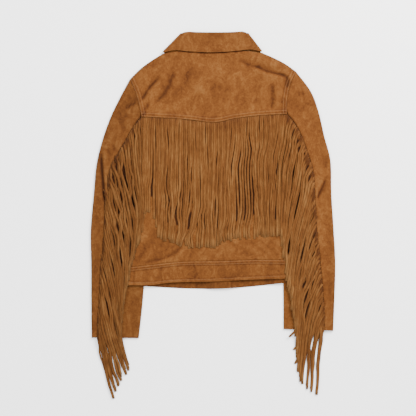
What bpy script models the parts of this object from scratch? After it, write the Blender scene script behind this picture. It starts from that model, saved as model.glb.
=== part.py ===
"""Fringed suede jacket with a turned-down collar, laid flat on a surface with its back up.

Frame: +Z up, +Y towards the collar, +X towards the wearer's right sleeve. The origin is the
middle of the jacket's outline, on the surface that it lies on. Sizes are in millimetres and
a panel's points are turned into metres when its mesh is made.

Every panel is a grid over a plan patch between its own seams. A height rule lays the patch on
what is beneath it, rolls its outer edges where the cloth turns over, and Solidify gives the wall.
"""
import math
from collections import namedtuple

import bmesh
import bpy
import numpy as np

MM = 0.001
Place = namedtuple("Place", "x y")
MIDDLE = Place(2.4, -0.3)       # middle of the outline, as the tables below measure it

# ---- cloth and how it lies
WALL = 1.2               # suede
FRINGE_WALL = 2.0        # a lap of cut strips
SEAM_GAP = 0.3           # between two pieces at a seam
LAY_GAP = 0.45           # between two layers that lie on each other
FRINGE_GAP = 0.8         # between a fringe's reach and what it hangs over
FLOOR_Z = WALL / 2       # middle of a wall that lies on the surface
BACK_Z = 5.0             # middle of the back's wall where nothing lifts it
PRESSED_Z = 3.2          # middle of a sleeve's top wall under the body's edge
SLEEVE_LIFT = 4.6        # how far a sleeve beneath lifts the front panel's edge
BACK_LIFT = 2.8          # and the back panel's edge
LIFT_RAMP = 48.0         # width over which the body comes down off a sleeve
ARMPIT_FADE = 34.0       # how far above the underarm point that lift dies out
LEAF_LIFT = 1.75         # one collar leaf beneath a front
LEAF_LOW_Y = 262.0       # where the leaves' lift begins
LEAF_RISE = 26.0         # and the length over which it is reached
LEAF_SIDE_X = 118.0      # how far out the leaves reach
LEAF_FADE = 34.0         # and the width over which their lift is lost
PRESS_START = 26.0       # how far outside the body's side a sleeve starts to be pressed
PRESS_RAMP = 22.0        # width over which it comes down
BESIDE_START = 8.0       # how far outside the body's side a sleeve fringe leaves the body
BESIDE_RAMP = 34.0       # width over which it comes down to the sleeve
CUFF_DROP = 5.0          # how far below the cuff a fringe starts to fall to the surface
CUFF_RAMP = 75.0         # length over which it falls
NECK_Y = 350.0           # height at which the lapped fronts stop lifting the back
NECK_RAMP = 40.0         # length over which they do
FOLD_END = 0.25          # share of a fold's length over which each end dies out
FOLD_START = 0.3         # how much of a fold is left right at its end
TIP_CLEAR = 0.1          # a fringe's fallen end stands off the surface by this
BUTTON_RADIUS = 8.5
BUTTON_HEIGHT = 2.2
BUTTON_COUNT = 6
BUTTON_START = 0.26      # first button's place below the neck, in spacings
LAP = 15.0               # half the width of the fronts' overlap
LAP_CLEAR = 3.0          # how far past the overlap the inner front stays up
PLACKET_RAMP = 34.0      # width over which the fronts come down off the buttons
PLACKET_CROWN = 1.7      # how far the lapped fronts lift the back

# ---- stations of a rolled edge, from the outside in
QUARTER_ROLL = (1.0, 0.55, 0.0)                 # shares of the whole turn
ROLL_CLEARANCE = 0.27                           # height left above and below a rolled seam
HALF_ROLL = (0.0, 36.0, 72.0, 108.0, 144.0, 180.0)     # degrees
PANEL_COLUMNS = 17                              # places across the yoke, back and waistband

# ---- sections across each sleeve, from the shoulder to the cuff
SleeveRow = namedtuple("SleeveRow", "outer_x outer_y seam_x seam_y inner_x inner_y")
LEFT_SLEEVE = (
    SleeveRow(-188, 313, -162, 227, -163, 114),
    SleeveRow(-212, 268, -179, 204, -161, 88),
    SleeveRow(-233, 224, -198, 171, -156, 58),
    SleeveRow(-252, 170, -217, 141, -152, 27),
    SleeveRow(-265, 115, -234, 100, -149, -5),
    SleeveRow(-271, 50, -243, 40, -150, -45),
    SleeveRow(-278, -35, -247, -40, -152, -90),
    SleeveRow(-277, -120, -254, -118, -156, -145),
    SleeveRow(-277, -200, -258, -200, -161, -210),
    SleeveRow(-276, -281, -263, -280, -169, -282),
)
RIGHT_SLEEVE = (
    SleeveRow(193, 330, 172, 233, 177, 123),
    SleeveRow(226, 286, 190, 210, 176, 97),
    SleeveRow(244, 240, 205, 181, 171, 67),
    SleeveRow(258, 181, 219, 144, 166.5, 37),
    SleeveRow(272, 125, 231, 103, 163, 5),
    SleeveRow(274, 50, 236, 45, 163, -35),
    SleeveRow(279, -30, 240, -35, 163, -85),
    SleeveRow(283, -110, 248, -107, 164, -140),
    SleeveRow(281, -190, 255, -185, 165, -200),
    SleeveRow(278, -265, 258, -264, 165, -261),
)

# ---- the seam lines, each a smooth curve through its own few places
ARMHOLE_LOWER = {   # underarm up to the yoke's corner
    "left": (Place(-163, 114), Place(-157.5, 174), Place(-162, 227)),
    "right": (Place(177, 123), Place(174, 178), Place(172, 233)),
}
ARMHOLE_UPPER = {   # yoke's corner up to the shoulder
    "left": (Place(-162, 227), Place(-168, 255), Place(-176, 284), Place(-188, 313)),
    "right": (Place(172, 233), Place(173, 268), Place(180, 302), Place(193, 330)),
}
SIDE = {            # underarm down to the waistband seam
    "left": (Place(-163, 114), Place(-175, 47), Place(-184, -30), Place(-193, -119)),
    "right": (Place(177, 123), Place(175.5, 45), Place(174, -30), Place(172.5, -102)),
}
SHOULDER = {        # shoulder point to the neck
    "left": (Place(-188, 313), Place(-165, 336), Place(-141, 354), Place(-112, 372)),
    "right": (Place(113, 374), Place(141, 362), Place(168, 348), Place(193, 330)),
}
NECK_BACK = (Place(-112, 372), Place(-60, 380), Place(0, 382), Place(60, 381), Place(113, 374))
YOKE_SEAM = (Place(-162, 227), Place(-101, 224), Place(-50, 220), Place(5, 214), Place(53, 223),
             Place(110, 230), Place(172, 233))
WAIST_SEAM = (Place(-193, -119), Place(-130, -112), Place(-64, -106), Place(20, -104.5),
              Place(100, -102), Place(172.5, -102))
BACK_HEM = (Place(-195, -160), Place(-140, -160), Place(-90, -154), Place(0, -152),
            Place(80, -148), Place(170, -145))
FRONT_HEM = (Place(-195, -160), Place(-140, -163.5), Place(-70, -167.5), Place(10, -168.5),
             Place(90, -163.5), Place(170, -154.5))
OPENING = (Place(2, 305), Place(29, -168))     # the fronts' centre line, neck to hem
FRONT_NECK = (      # from the shoulder to the opening, as for the right front
    Place(113, 374), Place(88, 347), Place(53.6, 323), Place(16.4, 300), Place(-12.5, 297),
)

# ---- reach of the cut fringe: its sewn edge and its free tips
BACK_FRINGE_TIPS = (Place(-161, -56), Place(-110, -57), Place(-60, -68), Place(0, -74),
                    Place(40, -60), Place(100, -52), Place(164, -50))
BACK_FRINGE_LEFT = (Place(-158.5, 224), Place(-157, 120), Place(-159, 20), Place(-161, -56))
BACK_FRINGE_RIGHT = (Place(169.5, 230), Place(168.5, 120), Place(167, 20), Place(164, -50))
FringeRow = namedtuple("FringeRow", "sewn_x sewn_y free_x free_y")
LEFT_FRINGE = (
    FringeRow(-166, 221, -160.5, 218),
    FringeRow(-180, 202, -160, 185),
    FringeRow(-198, 170, -159.5, 140),
    FringeRow(-217, 140, -159.5, 90),
    FringeRow(-234, 99, -160.5, 40),
    FringeRow(-243, 40, -162, -10),
    FringeRow(-247, -20, -163.5, -48),
    FringeRow(-249, -60, -186, -76),
    FringeRow(-253, -105, -193, -110),
    FringeRow(-256, -160, -199, -162),
    FringeRow(-258, -205, -198, -212),
    FringeRow(-262, -250, -201, -254),
    FringeRow(-266, -284, -206, -288),
    FringeRow(-257, -318, -197, -325),
    FringeRow(-250, -348, -190, -354),
    FringeRow(-241, -386, -209, -380),
    FringeRow(-233, -420, -226, -424),
)
RIGHT_FRINGE = (
    FringeRow(178, 226, 172, 223),
    FringeRow(191, 209, 172, 190),
    FringeRow(205, 180, 171.5, 140),
    FringeRow(219, 143, 171, 90),
    FringeRow(230, 102, 170.5, 40),
    FringeRow(235, 45, 169, -10),
    FringeRow(239, -20, 167, -46),
    FringeRow(243, -60, 172, -80),
    FringeRow(248, -107, 171, -115),
    FringeRow(252, -150, 174, -150),
    FringeRow(255, -190, 180, -195),
    FringeRow(257, -230, 188, -235),
    FringeRow(257, -266, 190, -271),
    FringeRow(249, -305, 190, -310),
    FringeRow(246, -345, 194, -344),
    FringeRow(245, -380, 209, -376),
    FringeRow(244, -412, 226, -408),
)

# ---- the largest folds of the top layer: a line, its half width and its height (a trough is < 0)
Fold = namedtuple("Fold", "x0 y0 x1 y1 width height")
FOLDS = (
    Fold(-120, 320, -162, 266, 10, -1.7),    # left yoke, from the neck to the armhole
    Fold(-142, 318, -176, 262, 12, 1.5),     # ridge outside it
    Fold(-88, 330, -132, 256, 11, -1.4),     # left yoke, inner
    Fold(-108, 330, -148, 262, 10, 1.0),     # ridge between the two
    Fold(66, 354, 165, 322, 9, -1.7),        # right yoke, along the shoulder
    Fold(80, 372, 172, 336, 10, 1.3),        # ridge above it
    Fold(170, 312, 165, 288, 8, -1.2),       # right armhole
    Fold(136, 286, 132, 244, 9, -1.1),       # right yoke, upright
    Fold(-170, 264, -203, 243, 9, -1.3),     # left sleeve cap
    Fold(-254, 146, -246, 30, 8, -1.5),      # left sleeve, along its outer side
    Fold(262, 86, 239, 33, 9, -1.6),         # right sleeve
    Fold(-64, -64, -108, -100, 10, -1.1),    # back, above the waistband
)

# ---- the collar, a section for each place round the neck, from one front end to the other
CollarRow = namedtuple("CollarRow", "neck_x neck_y fold_x fold_y edge_x edge_y turn")
COLLAR_LEFT = (     # turn: 180 lies beneath as the front leaf, 0 lies on top across the back
    CollarRow(-10, 300, -8, 316, -62, 296, 180),
    CollarRow(-52, 326, -30, 352, -84, 303, 180),
    CollarRow(-86, 352, -50, 392, -104, 332, 180),
    CollarRow(-108, 378, -66, 420, -110, 375, 180),
    CollarRow(-108, 378, -66, 420, -110, 375, 135),
    CollarRow(-108, 378, -66, 420, -110, 375, 90),
    CollarRow(-108, 378, -66, 420, -110, 375, 45),
    CollarRow(-108, 378, -66, 420, -110, 375, 0),
)
COLLAR_BACK = (
    CollarRow(-88, 381, -54, 421, -84, 379.5, 0),
    CollarRow(-50, 383, -35, 420, -48, 376.5, 0),
    CollarRow(0, 385, 2, 419.5, 1, 374.5, 0),
    CollarRow(50, 384, 42, 420, 52, 377.5, 0),
    CollarRow(90, 382, 68, 421.5, 88, 381, 0),
)
COLLAR_RIGHT = (
    CollarRow(110, 379, 78, 420.5, 112, 376.5, 0),
    CollarRow(110, 379, 78, 420.5, 112, 376.5, 45),
    CollarRow(110, 379, 78, 420.5, 112, 376.5, 90),
    CollarRow(110, 379, 78, 420.5, 112, 376.5, 135),
    CollarRow(110, 379, 78, 420.5, 112, 376.5, 180),
    CollarRow(90, 352, 58, 392, 108, 332, 180),
    CollarRow(58, 326, 36, 352, 90, 303, 180),
    CollarRow(14, 300, 12, 316, 68, 296, 180),
)
COLLAR_FOLD_RADIUS = 0.85
STAND_Z = 3.65           # middle height of the collar's stand at the neck
STAND_RADIUS = 1.35      # half the height from the front stand to the back stand


# ---------------------------------------------------------------- curves and patches
def smoothstep(t):
    """0 below 0, 1 above 1, and smooth between."""
    t = min(max(t, 0.0), 1.0)
    return t * t * (3.0 - 2.0 * t)


def through(rows, t):
    """Point at t, from 0 to 1, on a smooth curve through rows that are spaced evenly in t."""
    knots = np.array(rows, dtype=float)
    last = len(knots) - 1
    place = min(max(t, 0.0), 1.0) * last
    index = min(int(place), last - 1)
    f = place - index
    before = knots[index - 1] if index > 0 else 2 * knots[0] - knots[1]
    after = knots[index + 2] if index + 2 <= last else 2 * knots[last] - knots[last - 1]
    start, end = knots[index], knots[index + 1]
    pull_out = (end - before) / 2
    pull_in = (after - start) / 2
    return ((2 * f**3 - 3 * f**2 + 1) * start + (f**3 - 2 * f**2 + f) * pull_out
            + (3 * f**2 - 2 * f**3) * end + (f**3 - f**2) * pull_in)


def joined(parts, t):
    """Point at t on several curves end to end; parts are (share of t, rows, reversed)."""
    start = 0.0
    for share, rows, back in parts:
        f = (t - start) / share
        point = through(rows, 1.0 - f if back else f)
        if f <= 1.0:
            break
        start += share
    return point


def along_x(rows, x):
    """The curve's point that has this x."""
    low, high = 0.0, 1.0
    for _ in range(24):
        middle = (low + high) / 2
        if through(rows, middle)[0] < x:
            low = middle
        else:
            high = middle
    return through(rows, (low + high) / 2)


def across_y(rows, y):
    """The x of a curve that runs down the jacket, where it passes height y."""
    ts = np.linspace(0.0, 1.0, 41)
    samples = np.array([through(rows, t) for t in ts])
    order = np.argsort(samples[:, 1])
    return float(np.interp(y, samples[order, 1], samples[order, 0]))


def patch(bottom, top, left, right):
    """A plan surface between four curves that meet at their ends."""
    corners = [[bottom(0.0), bottom(1.0)], [top(0.0), top(1.0)]]

    def plan(u, v):
        rims = (1 - v) * bottom(u) + v * top(u) + (1 - u) * left(v) + u * right(v)
        low = (1 - u) * corners[0][0] + u * corners[0][1]
        high = (1 - u) * corners[1][0] + u * corners[1][1]
        return rims - (1 - v) * low - v * high

    return plan


def unit(vector):
    """The vector at length 1."""
    return vector / np.linalg.norm(vector)


def inward(plan, u, v, edge):
    """Unit plan direction from an edge of a patch into it; edge is 'u' or 'v'."""
    step = 0.004
    if edge == "u":
        tangent = plan(u, min(v + step, 1.0)) - plan(u, max(v - step, 0.0))
        inside = plan(0.5, v) - plan(u, v)
    else:
        tangent = plan(min(u + step, 1.0), v) - plan(max(u - step, 0.0), v)
        inside = plan(u, 0.5) - plan(u, v)
    normal = unit(np.array([-tangent[1], tangent[0]]))
    return normal if np.dot(normal, inside) > 0 else -normal


# ---------------------------------------------------------------- heights of the layers
SIDE_ROWS = {side: tuple(reversed(SIDE[side])) + ARMHOLE_LOWER[side][1:] for side in SIDE}
INNER_FOLD = {
    "left": tuple(Place(row.inner_x, row.inner_y) for row in LEFT_SLEEVE),
    "right": tuple(Place(row.inner_x, row.inner_y) for row in RIGHT_SLEEVE),
}
CUFF_Y = {"left": LEFT_SLEEVE[-1].seam_y, "right": RIGHT_SLEEVE[-1].seam_y}
HEIGHT_Y = np.arange(-300.0, 340.0, 4.0)
SIDE_X = {side: [across_y(SIDE_ROWS[side], y) for y in HEIGHT_Y] for side in SIDE}
FOLD_X = {side: [across_y(INNER_FOLD[side], y) for y in HEIGHT_Y] for side in SIDE}


def side_x(side, y):
    """x of the body's side, and above the underarm of the armhole."""
    return float(np.interp(y, HEIGHT_Y, SIDE_X[side]))


def inner_fold_x(side, y):
    """x of the sleeve's inner fold, under the body."""
    return float(np.interp(y, HEIGHT_Y, FOLD_X[side]))


def inside_of(side, x, line_x):
    """Distance of x from a line towards the jacket's middle."""
    return x - line_x if side == "left" else line_x - x


def armpit_fade(side, y):
    """1 below the underarm point, fading to 0 above it."""
    underarm = SIDE[side][0].y
    return 1.0 - smoothstep((y - underarm) / ARMPIT_FADE)


def over_sleeve(x, y):
    """1 where the body lies on a sleeve, ramping to 0 towards the middle."""
    share = 0.0
    for side in ("left", "right"):
        beyond = inside_of(side, x, inner_fold_x(side, y))
        share = max(share, armpit_fade(side, y) * (1.0 - smoothstep(beyond / LIFT_RAMP)))
    return share


def opening_x(y):
    """x of the fronts' centre line."""
    top, bottom = OPENING
    return top.x + (bottom.x - top.x) * (top.y - y) / (top.y - bottom.y)


def fold_height(x, y):
    """The largest folds of the top layer."""
    height = 0.0
    for fold in FOLDS:
        run = np.array([fold.x1 - fold.x0, fold.y1 - fold.y0])
        length = np.linalg.norm(run)
        offset = np.array([x - fold.x0, y - fold.y0])
        share = float(np.dot(offset, run)) / length**2
        sideways = (run[0] * offset[1] - run[1] * offset[0]) / length
        ends = (smoothstep(share / FOLD_END + FOLD_START)
                * smoothstep((1.0 - share) / FOLD_END + FOLD_START))
        height += fold.height * ends * math.exp(-(sideways / fold.width)**2)
    return height


def leaf_lift(x, y):
    """Lift of the fronts over the collar's leaves."""
    upward = smoothstep((y - LEAF_LOW_Y) / LEAF_RISE)
    outward = 1.0 - smoothstep((abs(x) - LEAF_SIDE_X) / LEAF_FADE)
    return LEAF_LIFT * upward * outward


def front_height(x, y):
    """Middle of a front panel's wall, away from the lapped opening."""
    return FLOOR_Z + SLEEVE_LIFT * over_sleeve(x, y) + leaf_lift(x, y)


def outer_front_height(x, y):
    """The right front, which laps outside and carries the buttons."""
    button_top = BUTTON_HEIGHT + LAY_GAP + WALL / 2
    near = 1.0 - smoothstep((x - opening_x(y) - LAP) / PLACKET_RAMP)
    base = front_height(x, y)
    return base + max(button_top - base, 0.0) * near


def inner_front_height(x, y):
    """The left front, which laps inside, over the right one."""
    lapped = BUTTON_HEIGHT + 2 * LAY_GAP + 1.5 * WALL
    near = 1.0 - smoothstep((opening_x(y) - LAP - LAP_CLEAR - x) / PLACKET_RAMP)
    base = front_height(x, y)
    return base + max(lapped - base, 0.0) * near


def back_height(x, y):
    """Middle of the back's and the yoke's wall."""
    aside = abs(x - opening_x(y)) - LAP
    crown = PLACKET_CROWN * (1.0 - smoothstep(aside / (2 * PLACKET_RAMP)))
    neck = smoothstep((NECK_Y - y) / NECK_RAMP)
    return BACK_Z + BACK_LIFT * over_sleeve(x, y) + crown * neck + fold_height(x, y)


def sleeve_height(side, x, y):
    """Middle of a sleeve's top wall."""
    inside = inside_of(side, x, side_x(side, y))
    pressed = smoothstep((inside + PRESS_START) / PRESS_RAMP) * armpit_fade(side, y)
    return BACK_Z - (BACK_Z - PRESSED_Z) * pressed + fold_height(x, y) * (1.0 - pressed)


def fringe_height(side, x, y):
    """Middle of a fringe's wall, over whichever of sleeve and body is beneath."""
    line = side_x(side, y)
    outside = -inside_of(side, x, line)
    sleeve = sleeve_height(side, x, y)
    body = back_height(line if outside > 0 else x, y)
    beside = smoothstep((outside - BESIDE_START) / BESIDE_RAMP)
    lain_on = max(sleeve, body + (sleeve - body) * beside)
    fall = smoothstep((CUFF_Y[side] - CUFF_DROP - y) / CUFF_RAMP)
    over = lain_on + WALL / 2 + FRINGE_GAP + FRINGE_WALL / 2
    return over + (FRINGE_WALL / 2 + TIP_CLEAR - over) * fall


# ---------------------------------------------------------------- meshes
def suede(name, red, green, blue):
    """A plain matt leather."""
    material = bpy.data.materials.new(name)
    material.use_nodes = True
    shader = material.node_tree.nodes["Principled BSDF"]
    shader.inputs["Base Color"].default_value = (red, green, blue, 1.0)
    shader.inputs["Roughness"].default_value = 0.92
    shader.inputs["Metallic"].default_value = 0.0
    return material


def sheet(name, across, down, place, material, wall=WALL):
    """A cloth panel: one grid point for each pair of stations, then a wall round its middle."""
    bm = bmesh.new()
    bmesh.ops.create_grid(bm, x_segments=len(across) - 1, y_segments=len(down) - 1, size=1.0)
    for vert in bm.verts:
        i = round((vert.co.x + 1.0) / 2 * (len(across) - 1))
        j = round((vert.co.y + 1.0) / 2 * (len(down) - 1))
        x, y, z = place(across[i], down[j])
        vert.co = ((x - MIDDLE.x) * MM, (y - MIDDLE.y) * MM, z * MM)
    bmesh.ops.recalc_face_normals(bm, faces=bm.faces[:])
    mesh = bpy.data.meshes.new(name)
    bm.to_mesh(mesh)
    bm.free()
    mesh.shade_smooth()
    mesh.materials.append(material)
    panel = bpy.data.objects.new(name, mesh)
    JACKET.objects.link(panel)
    solid = panel.modifiers.new("wall", "SOLIDIFY")
    solid.thickness = wall * MM
    solid.offset = 0.0
    return panel


Station = namedtuple("Station", "at turn")      # turn is None away from a patch's edge
Turn = namedtuple("Turn", "layer at")           # at is a place on a flat layer, or degrees


def stations(inner, start=(1.0,), end=(1.0,)):
    """Stations across a patch: edge rolls at either end and plain places between."""
    listed = [Station(0.0, turn) for turn in start]
    listed += [Station(at, None) for at in inner]
    listed += [Station(1.0, turn) for turn in reversed(end)]
    return listed


def even(first, last, count):
    """Evenly spaced places, both ends included."""
    return [first + (last - first) * k / (count - 1) for k in range(count)]


def laid(plan, height, other, upper, roll_u=lambda v, end: 0.0, roll_v=lambda u, end: 0.0):
    """Rule that puts a station pair of a body panel in its place.

    An edge station stands in from the seam by half the gap, and by its share of the roll. The
    roll turns the wall towards the other layer by the share that roll_u or roll_v gives.
    """
    def place(across, down):
        edge = plan(across.at, down.at)
        point = edge.copy()
        drop = 0.0
        radius = max(abs(height(*edge) - other(*edge)) / 2, WALL)
        whole_turn = math.acos(ROLL_CLEARANCE / (radius - WALL / 2))
        for axis, station in (("u", across), ("v", down)):
            if station.turn is None:
                continue
            share = roll_u(down.at, across.at) if axis == "u" else roll_v(across.at, down.at)
            angle = whole_turn * station.turn
            into = inward(plan, across.at, down.at, axis)
            if axis == "v" and share and across.turn is not None:
                into = unit(plan(across.at, 0.97) - edge)
            stand_in = radius * (math.sin(whole_turn) - math.sin(angle))
            point += into * (stand_in + SEAM_GAP / 2 * (1.0 - share))
            drop += share * radius * (1.0 - math.cos(angle))
        z = height(*point) - drop if upper else height(*point) + drop
        return point[0], point[1], z

    return place


# ---------------------------------------------------------------- body panels
SHOULDER_SHARE = 0.2         # share of the yoke's top edge that each shoulder takes
UNDERARM_SHARE = 0.66        # share of the back's side below the underarm
FRONT_UNDERARM = 0.52        # the same for a front, whose side also holds the upper armhole
FRONT_CORNER = 0.79          # where the yoke's corner falls on a front's side
UPPER_STATIONS = 7           # places along the upper armhole, its two ends included
LOWER_STATIONS = 6           # places along the lower armhole
NECK_SHARE = 0.42            # share of a front's top edge that its shoulder takes
FRONT_STATIONS = (0.06, 0.2, 0.4, 0.56, 0.68, 0.8, 0.88, 0.94)     # side to opening
SIDE_STATIONS = 8            # places along the side seam


def body_side(side, t):
    """The back's side, from the waistband seam up to the yoke's corner."""
    parts = ((UNDERARM_SHARE, SIDE[side], True), (1 - UNDERARM_SHARE, ARMHOLE_LOWER[side], False))
    return joined(parts, t)


def front_side(side, t):
    """A front's side, from the waistband seam up to the shoulder."""
    parts = ((FRONT_UNDERARM, SIDE[side], True),
             (FRONT_CORNER - FRONT_UNDERARM, ARMHOLE_LOWER[side], False),
             (1 - FRONT_CORNER, ARMHOLE_UPPER[side], False))
    return joined(parts, t)


def yoke_top(u):
    """The yoke's top edge: shoulder, neck, shoulder."""
    parts = ((SHOULDER_SHARE, SHOULDER["left"], False),
             (1 - 2 * SHOULDER_SHARE, NECK_BACK, False),
             (SHOULDER_SHARE, SHOULDER["right"], False))
    return joined(parts, u)


def front_neck(side, v):
    """Front neck curve from the shoulder to the opening's edge, v from 0 to 1."""
    if side == "right":
        return through(FRONT_NECK, v)
    centre = 2 * opening_x(FRONT_NECK[-1].y)
    mirrored = [Place(centre - place.x, place.y) for place in FRONT_NECK]
    mirrored[0] = NECK_BACK[0]
    return through(mirrored, v)


def build_yoke(material):
    """The yoke: shoulders and neck above, the shallow V seam below."""
    plan = patch(lambda u: through(YOKE_SEAM, u), yoke_top,
                 lambda v: through(ARMHOLE_UPPER["left"], v),
                 lambda v: through(ARMHOLE_UPPER["right"], v))
    across = stations(even(0, 1, PANEL_COLUMNS)[1:-1])
    down = stations(even(0, 1, UPPER_STATIONS)[1:-1], end=QUARTER_ROLL)

    def shoulder_roll(u, end):
        beside_neck = max(SHOULDER_SHARE - u, u - 1 + SHOULDER_SHARE) / 0.02
        return smoothstep(beside_neck) if end == 1.0 else 0.0

    place = laid(plan, back_height, front_height, True, roll_v=shoulder_roll)
    return sheet("yoke_back", across, down, place, material)


def build_back(material):
    """The back, from the yoke seam to the waistband seam."""
    plan = patch(lambda u: through(WAIST_SEAM, u), lambda u: through(YOKE_SEAM, u),
                 lambda v: body_side("left", v), lambda v: body_side("right", v))
    across = stations(even(0, 1, PANEL_COLUMNS)[1:-1], start=QUARTER_ROLL, end=QUARTER_ROLL)
    down = stations(even(0, UNDERARM_SHARE, SIDE_STATIONS)[1:]
                    + even(UNDERARM_SHARE, 1, LOWER_STATIONS)[1:-1])
    place = laid(plan, back_height, front_height, True,
                 roll_u=lambda v, end: 1.0 if v <= UNDERARM_SHARE + 1e-6 else 0.0)
    return sheet("back_panel", across, down, place, material)


def waist_side(side, hem, t):
    """A waistband's end, from the hem up to its seam."""
    low = Place(*hem[0 if side == "left" else -1])
    return through((low, SIDE[side][-1]), t)


def build_back_waistband(material):
    """The back of the waistband."""
    plan = patch(lambda u: through(BACK_HEM, u), lambda u: through(WAIST_SEAM, u),
                 lambda v: waist_side("left", BACK_HEM, v),
                 lambda v: waist_side("right", BACK_HEM, v))
    across = stations(even(0, 1, PANEL_COLUMNS)[1:-1], start=QUARTER_ROLL, end=QUARTER_ROLL)
    place = laid(plan, back_height, front_height, True, roll_u=lambda v, end: 1.0)
    return sheet("waistband_back", across, stations([0.5]), place, material)


def cut_at_opening(rows, side):
    """A cross seam's share from a body side to that front's edge, as a curve."""
    away = -1.0 if side == "left" else 1.0
    y = along_x(rows, opening_x(rows[0].y))[1]
    edge = opening_x(y) - away * LAP

    def curve(u):
        outer = rows[0 if side == "left" else -1].x
        return along_x(rows, outer + (edge - outer) * u)

    return curve


def build_front(side, material):
    """A front, from the shoulder to the waistband seam; u runs from the side to the opening."""
    bottom = cut_at_opening(WAIST_SEAM, side)
    shoulder = SHOULDER[side] if side == "left" else tuple(reversed(SHOULDER[side]))

    def top(u):
        if u <= NECK_SHARE:
            return through(shoulder, u / NECK_SHARE)
        return front_neck(side, (u - NECK_SHARE) / (1 - NECK_SHARE))

    plan = patch(bottom, top, lambda v: front_side(side, v),
                 lambda v: (1 - v) * bottom(1.0) + v * top(1.0))
    height = inner_front_height if side == "left" else outer_front_height
    across = stations(FRONT_STATIONS, start=QUARTER_ROLL)
    down = stations(even(0, FRONT_UNDERARM, SIDE_STATIONS)[1:]
                    + even(FRONT_UNDERARM, FRONT_CORNER, LOWER_STATIONS)[1:]
                    + even(FRONT_CORNER, 1, UPPER_STATIONS)[1:-1], end=QUARTER_ROLL)

    def shoulder_roll(u, end):
        return smoothstep((NECK_SHARE - u) / 0.03) if end == 1.0 else 0.0

    place = laid(plan, height, back_height, False, roll_v=shoulder_roll,
                 roll_u=lambda v, end: float(end == 0.0 and v <= FRONT_UNDERARM + 1e-6))
    return sheet("front_" + side, across, down, place, material)


def build_front_waistband(side, material):
    """A front's half of the waistband."""
    bottom = cut_at_opening(FRONT_HEM, side)
    top = cut_at_opening(WAIST_SEAM, side)
    plan = patch(bottom, top, lambda v: waist_side(side, FRONT_HEM, v),
                 lambda v: (1 - v) * bottom(1.0) + v * top(1.0))
    height = inner_front_height if side == "left" else outer_front_height
    across = stations(FRONT_STATIONS, start=QUARTER_ROLL)
    place = laid(plan, height, back_height, False, roll_u=lambda v, end: float(end == 0.0))
    return sheet("waistband_front_" + side, across, stations([0.5]), place, material)


# ---------------------------------------------------------------- sleeves
HIDDEN_SEAM_SHIFT = 0.3      # how far the seam beneath lies towards the inner fold
FOLD_ROOM = {"upper": 0.1, "under": 0.6}    # more room beside the folded corners
BULGE_FADE = 0.05            # share of the sleeve's length over which the armhole's curve fades
SLEEVE_STATIONS = (0.0, 0.05, 0.1, 0.16, 0.23, 0.3, 0.38, 0.47, 0.57, 0.68, 0.79, 0.9, 1.0)


def sleeve_plan(side, part, beneath):
    """Patch of a sleeve piece: u from the fringe seam (or the hidden one) to its folded edge."""
    rows = LEFT_SLEEVE if side == "left" else RIGHT_SLEEVE
    armhole = ARMHOLE_UPPER[side] if part == "upper" else tuple(reversed(ARMHOLE_LOWER[side]))

    def plan(u, v):
        row = SleeveRow(*through(rows, v))
        seam = np.array([row.seam_x, row.seam_y])
        inner = np.array([row.inner_x, row.inner_y])
        outer = np.array([row.outer_x, row.outer_y])
        if beneath:
            seam = seam + (inner - seam) * HIDDEN_SEAM_SHIFT * smoothstep(v / 0.4)
        edge = outer if part == "upper" else inner
        ends = [np.array(armhole[0]), np.array(armhole[-1])]
        bulge = through(armhole, u) - (1 - u) * ends[0] - u * ends[1]
        return seam + (edge - seam) * u + bulge * max(1.0 - v / BULGE_FADE, 0.0)

    return plan


def build_sleeve(side, part, material):
    """One sleeve piece: flat on top, round its folded edge, and flat beneath."""
    top_plan = sleeve_plan(side, part, False)
    low_plan = sleeve_plan(side, part, True)
    count = UPPER_STATIONS if part == "upper" else LOWER_STATIONS
    flat = even(0, 1, count)[:-1]
    across = [Turn("top", at) for at in flat]
    across += [Turn("roll", angle) for angle in HALF_ROLL]
    across += [Turn("low", at) for at in reversed(flat)]
    away = -1.0 if side == "left" else 1.0

    def top_z(point):
        return sleeve_height(side, point[0], point[1])

    def place(turn, v):
        plan = low_plan if turn.layer == "low" else top_plan
        u = 1.0 if turn.layer == "roll" else turn.at
        point = plan(u, v)
        if v == 0.0:
            off_armhole = inward(plan, u, v, "v")
            off_armhole *= math.copysign(SEAM_GAP / 2 + FOLD_ROOM[part] * u**2,
                                         off_armhole[0] * away)
            point = point + off_armhole
        if turn.layer != "roll":
            if u == 0.0:
                point = point + inward(plan, u, v, "u") * SEAM_GAP / 2
            z = top_z(point) if turn.layer == "top" else FLOOR_Z
            return point[0], point[1], z
        into = inward(plan, u, v, "u")
        into *= math.copysign(1.0, into[0] * away) * (-1.0 if part == "upper" else 1.0)
        if v == 0.0 and part == "upper":
            into = unit(plan(0.97, 0.0) - plan(1.0, 0.0))
        radius = (top_z(point + into * 2 * WALL) - FLOOR_Z) / 2
        angle = math.radians(turn.at)
        point = point + into * radius * (1.0 - math.sin(angle))
        return point[0], point[1], FLOOR_Z + radius * (1.0 + math.cos(angle))

    return sheet("sleeve_%s_%s" % (side, part), across, SLEEVE_STATIONS, place, material)


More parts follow.
